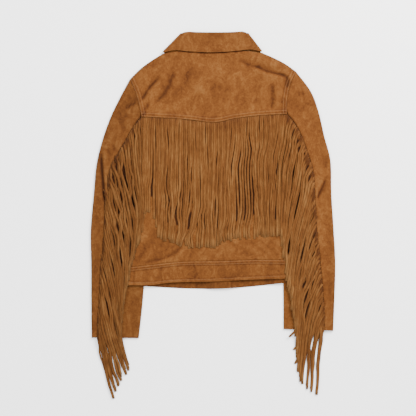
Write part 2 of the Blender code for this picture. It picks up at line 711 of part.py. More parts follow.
# ---------------------------------------------------------------- collar, fringe and buttons
def build_collar(material):
    """Stand and fall in one, folded over at its top and wrapped from front to front."""
    rows = COLLAR_LEFT + COLLAR_BACK + COLLAR_RIGHT
    stand = [("stand", at) for at in (0.0, 0.5, 0.97)]
    fold = [("fold", angle) for angle in (45.0, 90.0, 135.0)]
    fall = [("fall", at) for at in (0.03, 0.35, 0.68, 1.0)]

    def place(row, across):
        layer, at = across
        neck = np.array([row.neck_x, row.neck_y])
        top = np.array([row.fold_x, row.fold_y])
        edge = np.array([row.edge_x, row.edge_y])
        rise = (top - neck) / np.linalg.norm(top - neck)
        out = np.array([-rise[1], rise[0]]) * (1.0 if row.neck_x < 0 else -1.0)
        turn = math.radians(row.turn)
        lap = 2 * COLLAR_FOLD_RADIUS
        if layer == "stand":
            plan = neck + (top - neck) * at + rise * SEAM_GAP * (1.0 - at)
            layer_lap = 0.0
        elif layer == "fold":
            plan = top + rise * COLLAR_FOLD_RADIUS * math.sin(math.radians(at))
            layer_lap = COLLAR_FOLD_RADIUS * (1.0 - math.cos(math.radians(at)))
        else:
            plan = top + (edge - top) * at
            layer_lap = lap
        radius = STAND_RADIUS + layer_lap
        plan = plan + out * radius * math.sin(turn)
        return plan[0], plan[1], STAND_Z + radius * math.cos(turn)

    return sheet("collar", rows, stand + fold + fall, place, material)


def build_back_fringe(material):
    """Reach of the strips that hang from the yoke seam."""
    top = [along_x(YOKE_SEAM, x) for x in even(BACK_FRINGE_LEFT[0].x, BACK_FRINGE_RIGHT[0].x, 13)]
    shift = np.array([0.0, -SEAM_GAP])
    rows = [point + shift for point in top]
    plan = patch(lambda u: through(BACK_FRINGE_TIPS, u), lambda u: through(rows, u),
                 lambda v: through(tuple(reversed(BACK_FRINGE_LEFT)), v),
                 lambda v: through(tuple(reversed(BACK_FRINGE_RIGHT)), v))

    def place(u, v):
        x, y = plan(u, v)
        return x, y, back_height(x, y) + WALL / 2 + FRINGE_GAP + FRINGE_WALL / 2

    return sheet("fringe_back", even(0, 1, 15), even(0, 1, 11), place, material, FRINGE_WALL)


def build_sleeve_fringe(side, material):
    """Reach of the strips that hang from a sleeve's back seam and past its cuff."""
    table = LEFT_FRINGE if side == "left" else RIGHT_FRINGE

    def place(u, v):
        row = FringeRow(*through(table, v))
        x = row.sewn_x + (row.free_x - row.sewn_x) * u
        y = row.sewn_y + (row.free_y - row.sewn_y) * u
        return x, y, fringe_height(side, x, y)

    down = even(0, 1, 21)
    return sheet("fringe_sleeve_" + side, even(0, 1, 8), down, place, material, FRINGE_WALL)


def build_buttons(material):
    """Flat round buttons down the lapped fronts, faces on the surface."""
    top, bottom = OPENING
    for index in range(BUTTON_COUNT):
        share = (index + BUTTON_START) / (BUTTON_COUNT - 1 + 2 * BUTTON_START)
        y = top.y + (bottom.y - top.y) * share
        bm = bmesh.new()
        bmesh.ops.create_cone(bm, cap_ends=True, segments=20, radius1=BUTTON_RADIUS * MM,
                              radius2=BUTTON_RADIUS * 0.88 * MM, depth=BUTTON_HEIGHT * MM)
        bmesh.ops.translate(bm, verts=bm.verts[:], vec=(0, 0, BUTTON_HEIGHT / 2 * MM))
        mesh = bpy.data.meshes.new("button_%d" % (index + 1))
        bm.to_mesh(mesh)
        bm.free()
        mesh.shade_smooth()
        mesh.set_sharp_from_angle(angle=math.radians(40))
        mesh.materials.append(material)
        button = bpy.data.objects.new("button_%d" % (index + 1), mesh)
        button.location = ((opening_x(y) - MIDDLE.x) * MM, (y - MIDDLE.y) * MM, 0.0)
        JACKET.objects.link(button)


# ---------------------------------------------------------------- the jacket
for leftover in list(bpy.data.objects):
    bpy.data.objects.remove(leftover, do_unlink=True)
JACKET = bpy.data.collections.new("fringed_suede_jacket")
bpy.context.scene.collection.children.link(JACKET)


def build_jacket():
    """Every piece of the jacket, each with its own leather."""
    build_yoke(suede("yoke_suede", 0.35, 0.13, 0.037))
    build_back(suede("back_suede", 0.33, 0.12, 0.033))
    build_back_waistband(suede("waistband_suede", 0.32, 0.12, 0.035))
    for side in ("left", "right"):
        build_front(side, suede("front_suede_" + side, 0.33, 0.12, 0.033))
        build_front_waistband(side, suede("front_band_suede_" + side, 0.32, 0.12, 0.035))
        for part in ("upper", "under"):
            build_sleeve(side, part, suede("sleeve_suede_%s_%s" % (side, part), 0.3, 0.11, 0.03))
    build_collar(suede("collar_suede", 0.33, 0.125, 0.036))
    build_back_fringe(suede("yoke_fringe_suede", 0.3, 0.11, 0.03))
    for side in ("left", "right"):
        build_sleeve_fringe(side, suede("sleeve_fringe_suede_" + side, 0.28, 0.105, 0.03))
    build_buttons(suede("button_horn", 0.08, 0.04, 0.02))


build_jacket()
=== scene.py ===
"""Looks of the fringed suede jacket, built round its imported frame.

Every suede panel is laid again by the rules of the frame's own solids, in millimetres and in
the jacket's plan, on a much finer grid with its seams, folds and creases. The fringe is made
strip by strip. +Y runs to the collar, +X to the wearer's right sleeve and +Z out of the back.
"""

from collections import namedtuple

import bmesh
import bpy
import numpy as np
from mathutils import Matrix, Vector


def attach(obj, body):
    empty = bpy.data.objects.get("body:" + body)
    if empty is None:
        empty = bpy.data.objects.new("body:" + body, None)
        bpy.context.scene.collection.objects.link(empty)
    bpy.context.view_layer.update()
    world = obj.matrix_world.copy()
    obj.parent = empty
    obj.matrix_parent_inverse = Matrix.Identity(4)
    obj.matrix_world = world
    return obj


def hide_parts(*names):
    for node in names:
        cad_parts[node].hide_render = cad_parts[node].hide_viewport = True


bl_info = {
    "name": "Fringed suede jacket",
    "version": (1, 0, 0),
    "blender": (4, 5, 0),
    "location": "View3D > Sidebar > Jacket",
    "description": "Builds a fringed suede jacket laid flat with its back up",
    "category": "Add Mesh",
}

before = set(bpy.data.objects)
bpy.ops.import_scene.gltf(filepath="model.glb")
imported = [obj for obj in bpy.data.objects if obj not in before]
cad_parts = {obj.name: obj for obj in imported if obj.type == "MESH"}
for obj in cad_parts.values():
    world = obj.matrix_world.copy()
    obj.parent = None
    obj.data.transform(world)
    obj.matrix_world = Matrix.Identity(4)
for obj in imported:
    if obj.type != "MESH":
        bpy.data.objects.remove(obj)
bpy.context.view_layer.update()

MM = 0.001
Place = namedtuple("Place", "x y")
MIDDLE = Place(2.4, -0.3)       # middle of the outline, as the tables below measure it

# ---- how the layers lie, in mm
WALL = 1.2               # suede
SEAM_GAP = 0.3           # between two pieces at a seam
LAY_GAP = 0.45           # between two layers that lie on each other
FLOOR_Z = WALL / 2       # middle of a wall that lies on the surface
BACK_Z = 5.0             # middle of the back's wall where nothing lifts it
PRESSED_Z = 3.2          # middle of a sleeve's top wall under the body's edge
SLEEVE_LIFT = 4.6        # how far a sleeve beneath lifts the front panel's edge
BACK_LIFT = 2.8          # and the back panel's edge
LIFT_RAMP = 48.0         # width over which the body comes down off a sleeve
ARMPIT_FADE = 34.0       # how far above the underarm point that lift dies out
LEAF_LIFT = 1.75         # one collar leaf beneath a front
BUTTON_HEIGHT = 2.2
LAP = 15.0               # half the width of the fronts' overlap
LAP_CLEAR = 3.0          # how far past the overlap the inner front stays up
PLACKET_RAMP = 34.0      # width over which the fronts come down off the buttons
PLACKET_CROWN = 1.7      # how far the lapped fronts lift the back
ROLL_CLEARANCE = 0.27    # height left above and below a rolled seam
LEAF_BOTTOM = 262.0      # where a front starts to rise over a collar leaf, and over what length
LEAF_RAMP = 26.0
LEAF_SIDE = 118.0        # how far out a leaf reaches, and the width over which that lift ends
LEAF_SIDE_RAMP = 34.0
PRESS_REACH = 26.0       # how far outside the body's edge it starts to press a sleeve down
PRESS_RAMP = 22.0
NECK_EASE_Y = 350.0      # where the lapped fronts stop lifting the back, and over what length
NECK_EASE_RAMP = 40.0

# ---- sections across each sleeve, from the shoulder to the cuff
SleeveRow = namedtuple("SleeveRow", "outer_x outer_y seam_x seam_y inner_x inner_y")
SLEEVE = {
    "left": (
        SleeveRow(-188, 313, -162, 227, -163, 114),
        SleeveRow(-212, 268, -179, 204, -161, 88),
        SleeveRow(-233, 224, -198, 171, -156, 58),
        SleeveRow(-252, 170, -217, 141, -152, 27),
        SleeveRow(-265, 115, -234, 100, -149, -5),
        SleeveRow(-271, 50, -243, 40, -150, -45),
        SleeveRow(-278, -35, -247, -40, -152, -90),
        SleeveRow(-277, -120, -254, -118, -156, -145),
        SleeveRow(-277, -200, -258, -200, -161, -210),
        SleeveRow(-276, -281, -263, -280, -169, -282),
    ),
    "right": (
        SleeveRow(193, 330, 172, 233, 177, 123),
        SleeveRow(226, 286, 190, 210, 176, 97),
        SleeveRow(244, 240, 205, 181, 171, 67),
        SleeveRow(258, 181, 219, 144, 166.5, 37),
        SleeveRow(272, 125, 231, 103, 163, 5),
        SleeveRow(274, 50, 236, 45, 163, -35),
        SleeveRow(279, -30, 240, -35, 163, -85),
        SleeveRow(283, -110, 248, -107, 164, -140),
        SleeveRow(281, -190, 255, -185, 165, -200),
        SleeveRow(278, -265, 258, -264, 165, -261),
    ),
}

# ---- seam lines
ARMHOLE_LOWER = {
    "left": (Place(-163, 114), Place(-157.5, 174), Place(-162, 227)),
    "right": (Place(177, 123), Place(174, 178), Place(172, 233)),
}
ARMHOLE_UPPER = {
    "left": (Place(-162, 227), Place(-168, 255), Place(-176, 284), Place(-188, 313)),
    "right": (Place(172, 233), Place(173, 268), Place(180, 302), Place(193, 330)),
}
SIDE = {
    "left": (Place(-163, 114), Place(-175, 47), Place(-184, -30), Place(-193, -119)),
    "right": (Place(177, 123), Place(175.5, 45), Place(174, -30), Place(172.5, -102)),
}
SHOULDER = {
    "left": (Place(-188, 313), Place(-165, 336), Place(-141, 354), Place(-112, 372)),
    "right": (Place(113, 374), Place(141, 362), Place(168, 348), Place(193, 330)),
}
NECK_BACK = (Place(-112, 372), Place(-60, 380), Place(0, 382), Place(60, 381), Place(113, 374))
YOKE_SEAM = (Place(-162, 227), Place(-101, 224), Place(-50, 220), Place(5, 214), Place(53, 223),
             Place(110, 230), Place(172, 233))
WAIST_SEAM = (Place(-193, -119), Place(-130, -112), Place(-64, -106), Place(20, -104.5),
              Place(100, -102), Place(172.5, -102))
BACK_HEM = (Place(-195, -160), Place(-140, -160), Place(-90, -154), Place(0, -152),
            Place(80, -148), Place(170, -145))
FRONT_HEM = (Place(-195, -160), Place(-140, -163.5), Place(-70, -167.5), Place(10, -168.5),
             Place(90, -163.5), Place(170, -154.5))
OPENING = (Place(2, 305), Place(29, -168))
FRONT_NECK = (Place(113, 374), Place(88, 347), Place(53.6, 323), Place(16.4, 300),
              Place(-12.5, 297))

# ---- the collar, a section for each place round the neck
CollarRow = namedtuple("CollarRow", "neck_x neck_y fold_x fold_y edge_x edge_y turn")
COLLAR = (
    CollarRow(-10, 300, -8, 316, -62, 296, 180),
    CollarRow(-52, 326, -30, 352, -84, 303, 180),
    CollarRow(-86, 352, -50, 392, -104, 332, 180),
    CollarRow(-108, 378, -66, 420, -110, 375, 180),
    CollarRow(-108, 378, -66, 420, -110, 375, 135),
    CollarRow(-108, 378, -66, 420, -110, 375, 90),
    CollarRow(-108, 378, -66, 420, -110, 375, 45),
    CollarRow(-108, 378, -66, 420, -110, 375, 0),
    CollarRow(-88, 381, -54, 421, -84, 379.5, 0),
    CollarRow(-50, 383, -35, 420, -48, 376.5, 0),
    CollarRow(0, 385, 2, 419.5, 1, 374.5, 0),
    CollarRow(50, 384, 42, 420, 52, 377.5, 0),
    CollarRow(90, 382, 68, 421.5, 88, 381, 0),
    CollarRow(110, 379, 78, 420.5, 112, 376.5, 0),
    CollarRow(110, 379, 78, 420.5, 112, 376.5, 45),
    CollarRow(110, 379, 78, 420.5, 112, 376.5, 90),
    CollarRow(110, 379, 78, 420.5, 112, 376.5, 135),
    CollarRow(110, 379, 78, 420.5, 112, 376.5, 180),
    CollarRow(90, 352, 58, 392, 108, 332, 180),
    CollarRow(58, 326, 36, 352, 90, 303, 180),
    CollarRow(14, 300, 12, 316, 68, 296, 180),
)
COLLAR_FOLD_RADIUS = 0.95
STAND_Z = 3.65
STAND_RADIUS = 1.35

# ---- folds of the cloth: a curve through up to three places, its half width and depth in mm
# (a ridge is > 0), and lip, how high a ridge stands beside it and on which hand
Crease = namedtuple("Crease", "x0 y0 x1 y1 x2 y2 width height lip")
LARGE_FOLDS = (     # as in the frame's solids
    Crease(-120, 320, -141, 293, -162, 266, 10, -1.7, 0),
    Crease(-142, 318, -159, 290, -176, 262, 12, 1.5, 0),
    Crease(-88, 330, -110, 293, -132, 256, 11, -1.4, 0),
    Crease(-108, 330, -128, 296, -148, 262, 10, 1.0, 0),
    Crease(66, 354, 115, 338, 165, 322, 9, -1.7, 0),
    Crease(80, 372, 126, 354, 172, 336, 10, 1.3, 0),
    Crease(170, 312, 167, 300, 165, 288, 8, -1.2, 0),
    Crease(136, 286, 134, 265, 132, 244, 9, -1.1, 0),
    Crease(-170, 264, -187, 253, -203, 243, 9, -1.3, 0),
    Crease(-254, 146, -250, 88, -246, 30, 8, -1.5, 0),
    Crease(262, 86, 250, 60, 239, 33, 9, -1.6, 0),
    Crease(-64, -64, -86, -82, -108, -100, 10, -1.1, 0),
)
CREASES = (         # the sharper ones within and beside them
    Crease(-119, 318, -143, 295, -163, 262, 3.2, -1.5, 0.5),
    Crease(-87, 332, -102, 292, -132, 254, 4.5, -1.1, 0.4),
    Crease(-145, 258, -152, 249, -157, 240, 4.0, -0.8, -0.4),
    Crease(-150, 237, -156, 233, -161, 231, 2.6, -0.7, 0.3),
    Crease(-66, 300, -92, 268, -112, 246, 9.0, -0.6, 0.5),
    Crease(-38, 340, -56, 318, -66, 286, 12.0, -0.5, 0.4),
    Crease(-10, 300, 20, 286, 44, 262, 14.0, -0.45, 0.5),
    Crease(66, 356, 88, 345, 116, 341, 3.6, -1.1, -0.4),
    Crease(98, 345, 128, 331, 168, 322, 3.6, -1.4, -0.5),
    Crease(158, 326, 174, 314, 172, 290, 3.6, -1.3, 0.4),
    Crease(139, 304, 140, 270, 136, 243, 4.6, -1.3, 0.4),
    Crease(108, 300, 104, 272, 96, 246, 8.0, -0.5, -0.4),
    Crease(60, 308, 72, 280, 66, 250, 11.0, -0.45, 0.4),
    Crease(-172, 263, -186, 252, -201, 245, 3.4, -1.3, 0.6),
    Crease(-206, 246, -212, 222, -210, 200, 7.0, -0.6, -0.5),
    Crease(-196, 232, -204, 214, -200, 190, 6.0, -0.5, 0.5),
    Crease(-230, 166, -226, 158, -220, 146, 4.0, -0.9, 0.5),
    Crease(-234, 158, -238, 148, -232, 134, 4.5, -0.8, -0.5),
    Crease(-256, 150, -252, 95, -247, 36, 2.8, -2.6, 0.6),
    Crease(-249, 60, -245, 24, -243, -12, 2.4, -2.2, 0.5),
    Crease(-262, 60, -262, 10, -266, -38, 7.0, -0.5, 0.4),
    Crease(-262, -84, -268, -130, -266, -176, 7.0, -0.5, -0.5),
    Crease(-250, 196, -262, 160, -266, 128, 8.0, -0.5, 0.4),
    Crease(193, 284, 204, 281, 214, 278, 3.2, -0.8, 0.4),
    Crease(184, 262, 198, 250, 214, 246, 6.0, -0.6, 0.5),
    Crease(264, 88, 251, 60, 240, 34, 3.0, -1.6, -0.6),
    Crease(246, 140, 258, 128, 268, 108, 7.0, -0.6, 0.5),
    Crease(264, 10, 272, -30, 270, -80, 8.0, -0.4, -0.5),
    Crease(262, -120, 268, -160, 266, -210, 8.0, -0.4, 0.4),
    Crease(-66, -70, -98, -93, -164, -112, 3.6, -1.0, 0.6),
    Crease(-150, -60, -158, -84, -170, -104, 5.0, -0.8, 0.5),
    Crease(-128, -30, -140, -54, -146, -82, 8.0, -0.6, -0.5),
    Crease(36, -50, 46, -64, 54, -72, 3.6, -0.8, 0.5),
    Crease(78, -58, 104, -72, 132, -96, 4.0, -0.6, 0.5),
    Crease(96, -56, 124, -70, 152, -94, 4.0, -0.6, 0.5),
    Crease(120, -56, 144, -68, 166, -86, 4.0, -0.5, 0.5),
    Crease(58, -70, 76, -82, 96, -98, 5.0, -0.5, 0.4),
    Crease(-30, -76, -44, -88, -56, -102, 6.0, -0.5, 0.4),
    Crease(0, -80, 2, -92, 8, -101, 5.0, -0.4, -0.4),
    Crease(-178, -126, -180, -142, -182, -157, 3.0, -0.8, 0.5),
    Crease(-189, -124, -191, -140, -192, -156, 2.5, -0.8, -0.4),
    Crease(-120, -118, -118, -134, -122, -152, 5.0, -0.5, 0.5),
    Crease(-40, -110, -44, -128, -40, -146, 7.0, -0.4, 0.4),
    Crease(60, -106, 66, -124, 62, -142, 7.0, -0.4, -0.4),
    Crease(158, -108, 160, -124, 158, -140, 3.4, -0.6, 0.5),
    Crease(-190, -160, -180, -200, -182, -240, 7.0, -0.6, 0.4),
    Crease(-176, -180, -176, -220, -180, -262, 6.0, -0.5, -0.4),
    Crease(-206, -168, -196, -178, -182, -186, 5.0, -0.8, 0.5),
    Crease(-170, -238, -178, -246, -190, -250, 4.0, -0.6, 0.4),
    Crease(172, -160, 178, -200, 174, -246, 6.0, -0.5, 0.4),
)

# ---- cut strips: where a strip passes at four places below its root, for each row of its seam
StripRow = namedtuple("StripRow", "knee_x knee_y mid_x mid_y low_x low_y tip_x tip_y")
SLEEVE_STRIPS = {
    "left": (
        StripRow(-162, 197, -161, 116, -157, 24, -167, -59),
        StripRow(-177, 176, -170, 100, -164, 13, -172, -66),
        StripRow(-194, 144, -183, 70, -174, -15, -183, -98),
        StripRow(-212, 114, -197, 43, -184, -45, -193, -139),
        StripRow(-227, 73, -210, 6, -198, -79, -203, -176),
        StripRow(-237, 13, -222, -52, -210, -139, -208, -229),
        StripRow(-243, -68, -230, -132, -217, -222, -211, -309),
        StripRow(-248, -144, -235, -208, -215, -282, -193, -348),
        StripRow(-254, -227, -244, -282, -230, -337, -214, -385),
        StripRow(-260, -296, -253, -332, -242, -381, -229, -426),
    ),
    "right": (
        StripRow(167, 208, 155, 151, 147, 47, 146, -47),
        StripRow(182, 187, 170, 116, 163, 24, 162, -56),
        StripRow(196, 158, 184, 93, 173, 1, 166, -95),
        StripRow(210, 121, 200, 59, 182, -29, 171, -130),
        StripRow(222, 79, 208, 20, 189, -68, 177, -167),
        StripRow(227, 22, 210, -38, 193, -125, 187, -222),
        StripRow(230, -59, 213, -118, 202, -201, 194, -302),
        StripRow(237, -125, 216, -181, 205, -263, 198, -355),
        StripRow(245, -204, 230, -254, 221, -314, 216, -388),
        StripRow(254, -282, 250, -314, 247, -366, 246, -418),
    ),
}
Lean = namedtuple("Lean", "x mid_shift tip_shift tip_y")
BACK_STRIPS = (     # along the yoke's seam: sideways shifts, and the height of the tips
    Lean(-161, 1, 4, -38),
    Lean(-154, 0, -3, -16),
    Lean(-148, 0, -4, 2),
    Lean(-138, 0, -3, 8),
    Lean(-130, 2, 1, -14),
    Lean(-124, 3, 2, -52),
    Lean(-108, 1, 2, -57),
    Lean(-85, -2, -1, -58),
    Lean(-64, 1, 2, -69),
    Lean(-30, 0, -2, -73),
    Lean(10, 1, 2, -72),
    Lean(30, 2, 3, -62),
    Lean(60, -1, 0, -53),
    Lean(90, 0, 2, -52),
    Lean(118, -3, -4, -50),
    Lean(150, -8, -7, -48),
    Lean(169, -12, -11, -46),
)

# ---- openings between strips: a line down the middle of each, and its half width
Gap = namedtuple("Gap", "x0 y0 x1 y1 width")
BACK_GAPS = (
    Gap(-159, 218, -160, 180, 1.2), Gap(-145, 216, -146, 196, 1.0), Gap(-103, 196, -99, 165, 1.5),
    Gap(-128, 210, -127, 150, 1.0), Gap(-142, 86, -148, 66, 1.2),
    Gap(-101, 112, -107, 70, 1.3), Gap(-107, 66, -99, 30, 1.6), Gap(-98, 30, -98, 4, 1.2),
    Gap(-58, 137, -58, 104, 1.6), Gap(-57, 100, -52, 66, 1.5), Gap(-46, 112, -51, 78, 1.3),
    Gap(-66, 64, -72, 34, 1.6), Gap(-72, 32, -79, 4, 1.8), Gap(-80, 2, -74, -26, 3.0),
    Gap(-41, 30, -48, -18, 2.2), Gap(-58, -38, -66, -62, 1.4), Gap(-15, 210, -15, 166, 1.2),
    Gap(-38, 200, -36, 150, 1.0), Gap(-74, 214, -75, 176, 1.0), Gap(-30, 120, -27, 60, 1.2),
    Gap(-14, 24, -24, -10, 2.4), Gap(-24, -18, -42, -56, 2.0), Gap(-5, -50, -2, -76, 1.4),
    Gap(14, 150, 10, 118, 1.8), Gap(13, 40, 11, 0, 1.6), Gap(3, 8, 8, -56, 1.6),
    Gap(0, 100, -2, 40, 1.0), Gap(40, 56, 42, -4, 1.8), Gap(36, 130, 34, 84, 1.2),
    Gap(53, -6, 40, -44, 1.6), Gap(46, 200, 44, 160, 1.1), Gap(59, 187, 50, 100, 1.8),
    Gap(79, 190, 88, 146, 1.7), Gap(71, 146, 65, 104, 1.5), Gap(87, -2, 83, -30, 1.4),
    Gap(82, 224, 80, 196, 1.2), Gap(95, 104, 97, 76, 1.2), Gap(97, 74, 105, 40, 1.4),
    Gap(95, 36, 108, -28, 1.3), Gap(92, 90, 90, 30, 1.0), Gap(106, 228, 107, 190, 1.5),
    Gap(108, 167, 103, 121, 1.8), Gap(111, 60, 107, 10, 1.8), Gap(117, 226, 119, 196, 1.5),
    Gap(124, 157, 119, 132, 1.6), Gap(125, 38, 120, 10, 1.4), Gap(138, 171, 132, 125, 2.0),
    Gap(132, 122, 141, 72, 1.6), Gap(141, 70, 145, 50, 1.2), Gap(155, 192, 147, 135, 2.0),
    Gap(158, 118, 151, 92, 3.0), Gap(149, 58, 147, -46, 1.7), Gap(-118, 100, -115, 20, 1.2),
    Gap(66, 20, 64, -40, 1.3), Gap(126, 0, 124, -40, 1.2), Gap(-100, -10, -104, -46, 1.5),
    Gap(-12, 160, -8, 112, 1.0), Gap(22, 96, 18, 52, 1.2), Gap(-88, 150, -92, 108, 1.0),
)
SLEEVE_GAPS = {
    "left": (
        Gap(-178, 192, -176, 172, 1.6), Gap(-166, 206, -164, 180, 1.4), Gap(-217, 150, -215, 130, 2.2),
        Gap(-224, 125, -219, 104, 2.6), Gap(-229, 98, -221, 74, 2.4), Gap(-242, 68, -238, 46, 3.4),
        Gap(-236, 42, -213, 8, 1.8), Gap(-207, 116, -203, 92, 2.4), Gap(-203, 90, -186, 48, 1.8),
        Gap(-185, 46, -178, 16, 1.6), Gap(-187, 92, -182, 76, 2.0), Gap(-181, 72, -171, 30, 1.5),
        Gap(-222, 90, -214, 60, 1.8), Gap(-213, 58, -204, 28, 2.2), Gap(-212, 90, -206, 62, 1.5),
        Gap(-216, 20, -214, -2, 2.2), Gap(-219, -12, -216, -36, 2.8), Gap(-201, 4, -191, -28, 1.4),
        Gap(-205, -34, -199, -58, 2.0), Gap(-181, 2, -187, -48, 1.8), Gap(-254, -74, -250, -90, 2.0),
        Gap(-187, -50, -190, -102, 2.2), Gap(-228, -30, -222, -76, 1.6), Gap(-212, -70, -207, -116, 1.6),
        Gap(-234, -96, -218, -146, 1.8), Gap(-238, -162, -232, -196, 1.6), Gap(-245, -190, -232, -236, 1.8),
        Gap(-221, -204, -212, -228, 2.0), Gap(-204, -120, -200, -170, 1.4), Gap(-248, -110, -244, -150, 1.4),
        Gap(-252, -236, -244, -276, 1.4), Gap(-226, -236, -220, -280, 1.4), Gap(-244, -298, -236, -324, 1.5),
        Gap(-258, -308, -249, -334, 1.3), Gap(-219, -334, -213, -372, 1.4), Gap(-202, -334, -197, -356, 1.0),
        Gap(-211, -352, -205, -378, 1.0), Gap(-226, -366, -219, -396, 1.0),
    ),
    "right": (
        Gap(187, 202, 184, 176, 1.8), Gap(155, 190, 147, 150, 1.6), Gap(199, 184, 199, 166, 2.6),
        Gap(201, 162, 199, 146, 2.0), Gap(195, 138, 185, 88, 1.5), Gap(213, 148, 210, 136, 2.2),
        Gap(221, 118, 218, 106, 2.4), Gap(226, 98, 222, 80, 2.4), Gap(206, 60, 184, -16, 2.2),
        Gap(232, 4, 229, -16, 2.4), Gap(237, -38, 233, -52, 2.0), Gap(241, -62, 236, -74, 2.2),
        Gap(234, -82, 231, -96, 2.4), Gap(179, -48, 175, -94, 2.6), Gap(208, -60, 197, -84, 1.4),
        Gap(214, -58, 203, -112, 1.8), Gap(229, -56, 222, -82, 1.5), Gap(218, -144, 206, -170, 3.0),
        Gap(230, -150, 202, -220, 2.8), Gap(187, -158, 180, -176, 2.4),
        Gap(245, -196, 247, -236, 1.8), Gap(236, -276, 228, -308, 1.5),
        Gap(242, -280, 238, -336, 1.7), Gap(238, -352, 235, -402, 1.2),
        Gap(228, -362, 222, -396, 1.0), Gap(214, -338, 211, -390, 1.7),
        Gap(206, -118, 198, -150, 1.6), Gap(222, -196, 214, -240, 1.8),
    ),
}
Stray = namedtuple("Stray", "x0 y0 x1 y1 x2 y2")
STRAYS = {
    "left": (Stray(-172, 88, -165, 40, -160, 9), Stray(-160, 11, -163, -24, -168, -56),
             Stray(-167, 20, -171, -24, -175, -52)),
    "right": (
        Stray(214, -246, 196, -260, 177, -279), Stray(208, -250, 200, -262, 195, -272),
        Stray(207, -250, 204, -284, 188, -309), Stray(210, -260, 202, -312, 191, -341),
        Stray(214, -262, 207, -320, 203, -362), Stray(212, -262, 206, -318, 197, -352),
    ),
}


# ================================================================ sizes and colours
class JacketSizes(bpy.types.PropertyGroup):
    """Sizes of the cut strips, seams and stitches."""

    strip_width: bpy.props.FloatProperty(
        name="Strip width", description="Width of one cut strip", default=0.005, unit="LENGTH")
    strip_pitch: bpy.props.FloatProperty(
        name="Strip pitch", description="Distance between two strips where they are sewn in",
        default=0.0046, unit="LENGTH")
    strip_wall: bpy.props.FloatProperty(
        name="Strip thickness", description="Thickness of a cut strip", default=0.001,
        unit="LENGTH")
    welt: bpy.props.FloatProperty(
        name="Welt height", description="How far the yoke's turned edge stands over the back",
        default=0.0024, unit="LENGTH")
    stitch: bpy.props.FloatProperty(
        name="Stitch length", description="Length of one stitch", default=0.0028, unit="LENGTH")


class JacketColours(bpy.types.PropertyGroup):
    """Colours of the suede, thread, buttons and floor."""

    suede: bpy.props.FloatVectorProperty(
        name="Suede", description="The suede where it is neither rubbed nor dirty",
        default=(0.087, 0.0292, 0.0063), subtype="COLOR")
    # Besides the nap's random mottle, this colour gives the painted shade in folds' troughs, along seams and
    # beneath strips.
    shade: bpy.props.FloatVectorProperty(
        name="Rubbed suede", description="The suede where its nap lies down",
        default=(0.04, 0.0112, 0.0025), subtype="COLOR")
    # Besides the nap's random mottle, this colour gives the painted light on folds' ridges and rises and at
    # the strips' tips.
    pale: bpy.props.FloatVectorProperty(
        name="Raised nap", description="The suede where its nap stands up",
        default=(0.139, 0.0575, 0.0158), subtype="COLOR")
    # Partly the strips' own dark cut edges and partly painted shade between strips; also the painted
    # near-black shadow beneath strips, below the collar's edge and in the deepest creases.
    cut_edge_and_shadow: bpy.props.FloatVectorProperty(
        name="Cut edge", description="The cut edge of a strip, and the depth of a seam",
        default=(0.016, 0.0042, 0.001), subtype="COLOR")
    thread: bpy.props.FloatVectorProperty(
        name="Thread", description="Sewing thread", default=(0.1, 0.044, 0.012), subtype="COLOR")
    button: bpy.props.FloatVectorProperty(
        name="Button", description="The plain buttons", default=(0.05, 0.022, 0.01),
        subtype="COLOR")
    floor: bpy.props.FloatVectorProperty(
        name="Floor", description="The pale floor", default=(0.97, 0.97, 0.97), subtype="COLOR")


# ================================================================ curves and patches
def smoothstep(t):
    """0 below 0, 1 above 1, and smooth between."""
    t = np.clip(t, 0.0, 1.0)
    return t * t * (3.0 - 2.0 * t)


def ridge(distance, width):
    """1 where the distance is 0, falling to 0 on both sides."""
    return np.exp(-(distance / width)**2)


def through(rows, t):
    """Places at t, from 0 to 1, on a smooth curve through rows that are evenly spaced in t."""
    knots = np.array(rows, dtype=float)
    last = len(knots) - 1
    place = np.clip(np.asarray(t, dtype=float), 0.0, 1.0) * last
    index = np.minimum(place.astype(int), last - 1)
    f = (place - index)[..., None]
    padded = np.vstack([2 * knots[0] - knots[1], knots, 2 * knots[-1] - knots[-2]])
    before, start, end, after = (padded[index + k] for k in range(4))
    pull_out = (end - before) / 2
    pull_in = (after - start) / 2
    return ((2 * f**3 - 3 * f**2 + 1) * start + (f**3 - 2 * f**2 + f) * pull_out
            + (3 * f**2 - 2 * f**3) * end + (f**3 - f**2) * pull_in)


def joined(parts, t):
    """Places at t on several curves end to end; parts are (share of t, rows, reversed)."""
    t = np.asarray(t, dtype=float)
    placed = np.zeros(t.shape + (2,))
    start = 0.0
    for share, rows, back in parts:
        f = (t - start) / share
        here = f >= -1e-9
        placed[here] = through(rows, 1.0 - f[here] if back else f[here])
        start += share
    return placed


def along_x(rows, x):
    """The curve's places that have these x."""
    t = np.linspace(0.0, 1.0, 241)
    samples = through(rows, t)
    order = np.argsort(samples[:, 0])
    return through(rows, np.interp(x, samples[order, 0], t[order]))


def across_y(rows, y):
    """The x of a curve that runs down the jacket, where it passes the heights y."""
    samples = through(rows, np.linspace(0.0, 1.0, 241))
    order = np.argsort(samples[:, 1])
    return np.interp(y, samples[order, 1], samples[order, 0])


def patch(bottom, top, left, right):
    """A plan surface between four curves that meet at their ends."""
    low = [bottom(np.array(end)) for end in (0.0, 1.0)]
    high = [top(np.array(end)) for end in (0.0, 1.0)]

    def plan(u, v):
        a, b = u[..., None], v[..., None]
        rims = (1 - b) * bottom(u) + b * top(u) + (1 - a) * left(v) + a * right(v)
        return rims - (1 - b) * ((1 - a) * low[0] + a * low[1]) - b * (
            (1 - a) * high[0] + a * high[1])

    return plan


def unit(vectors):
    """The vectors at length 1."""
    return vectors / np.maximum(np.linalg.norm(vectors, axis=-1, keepdims=True), 1e-9)


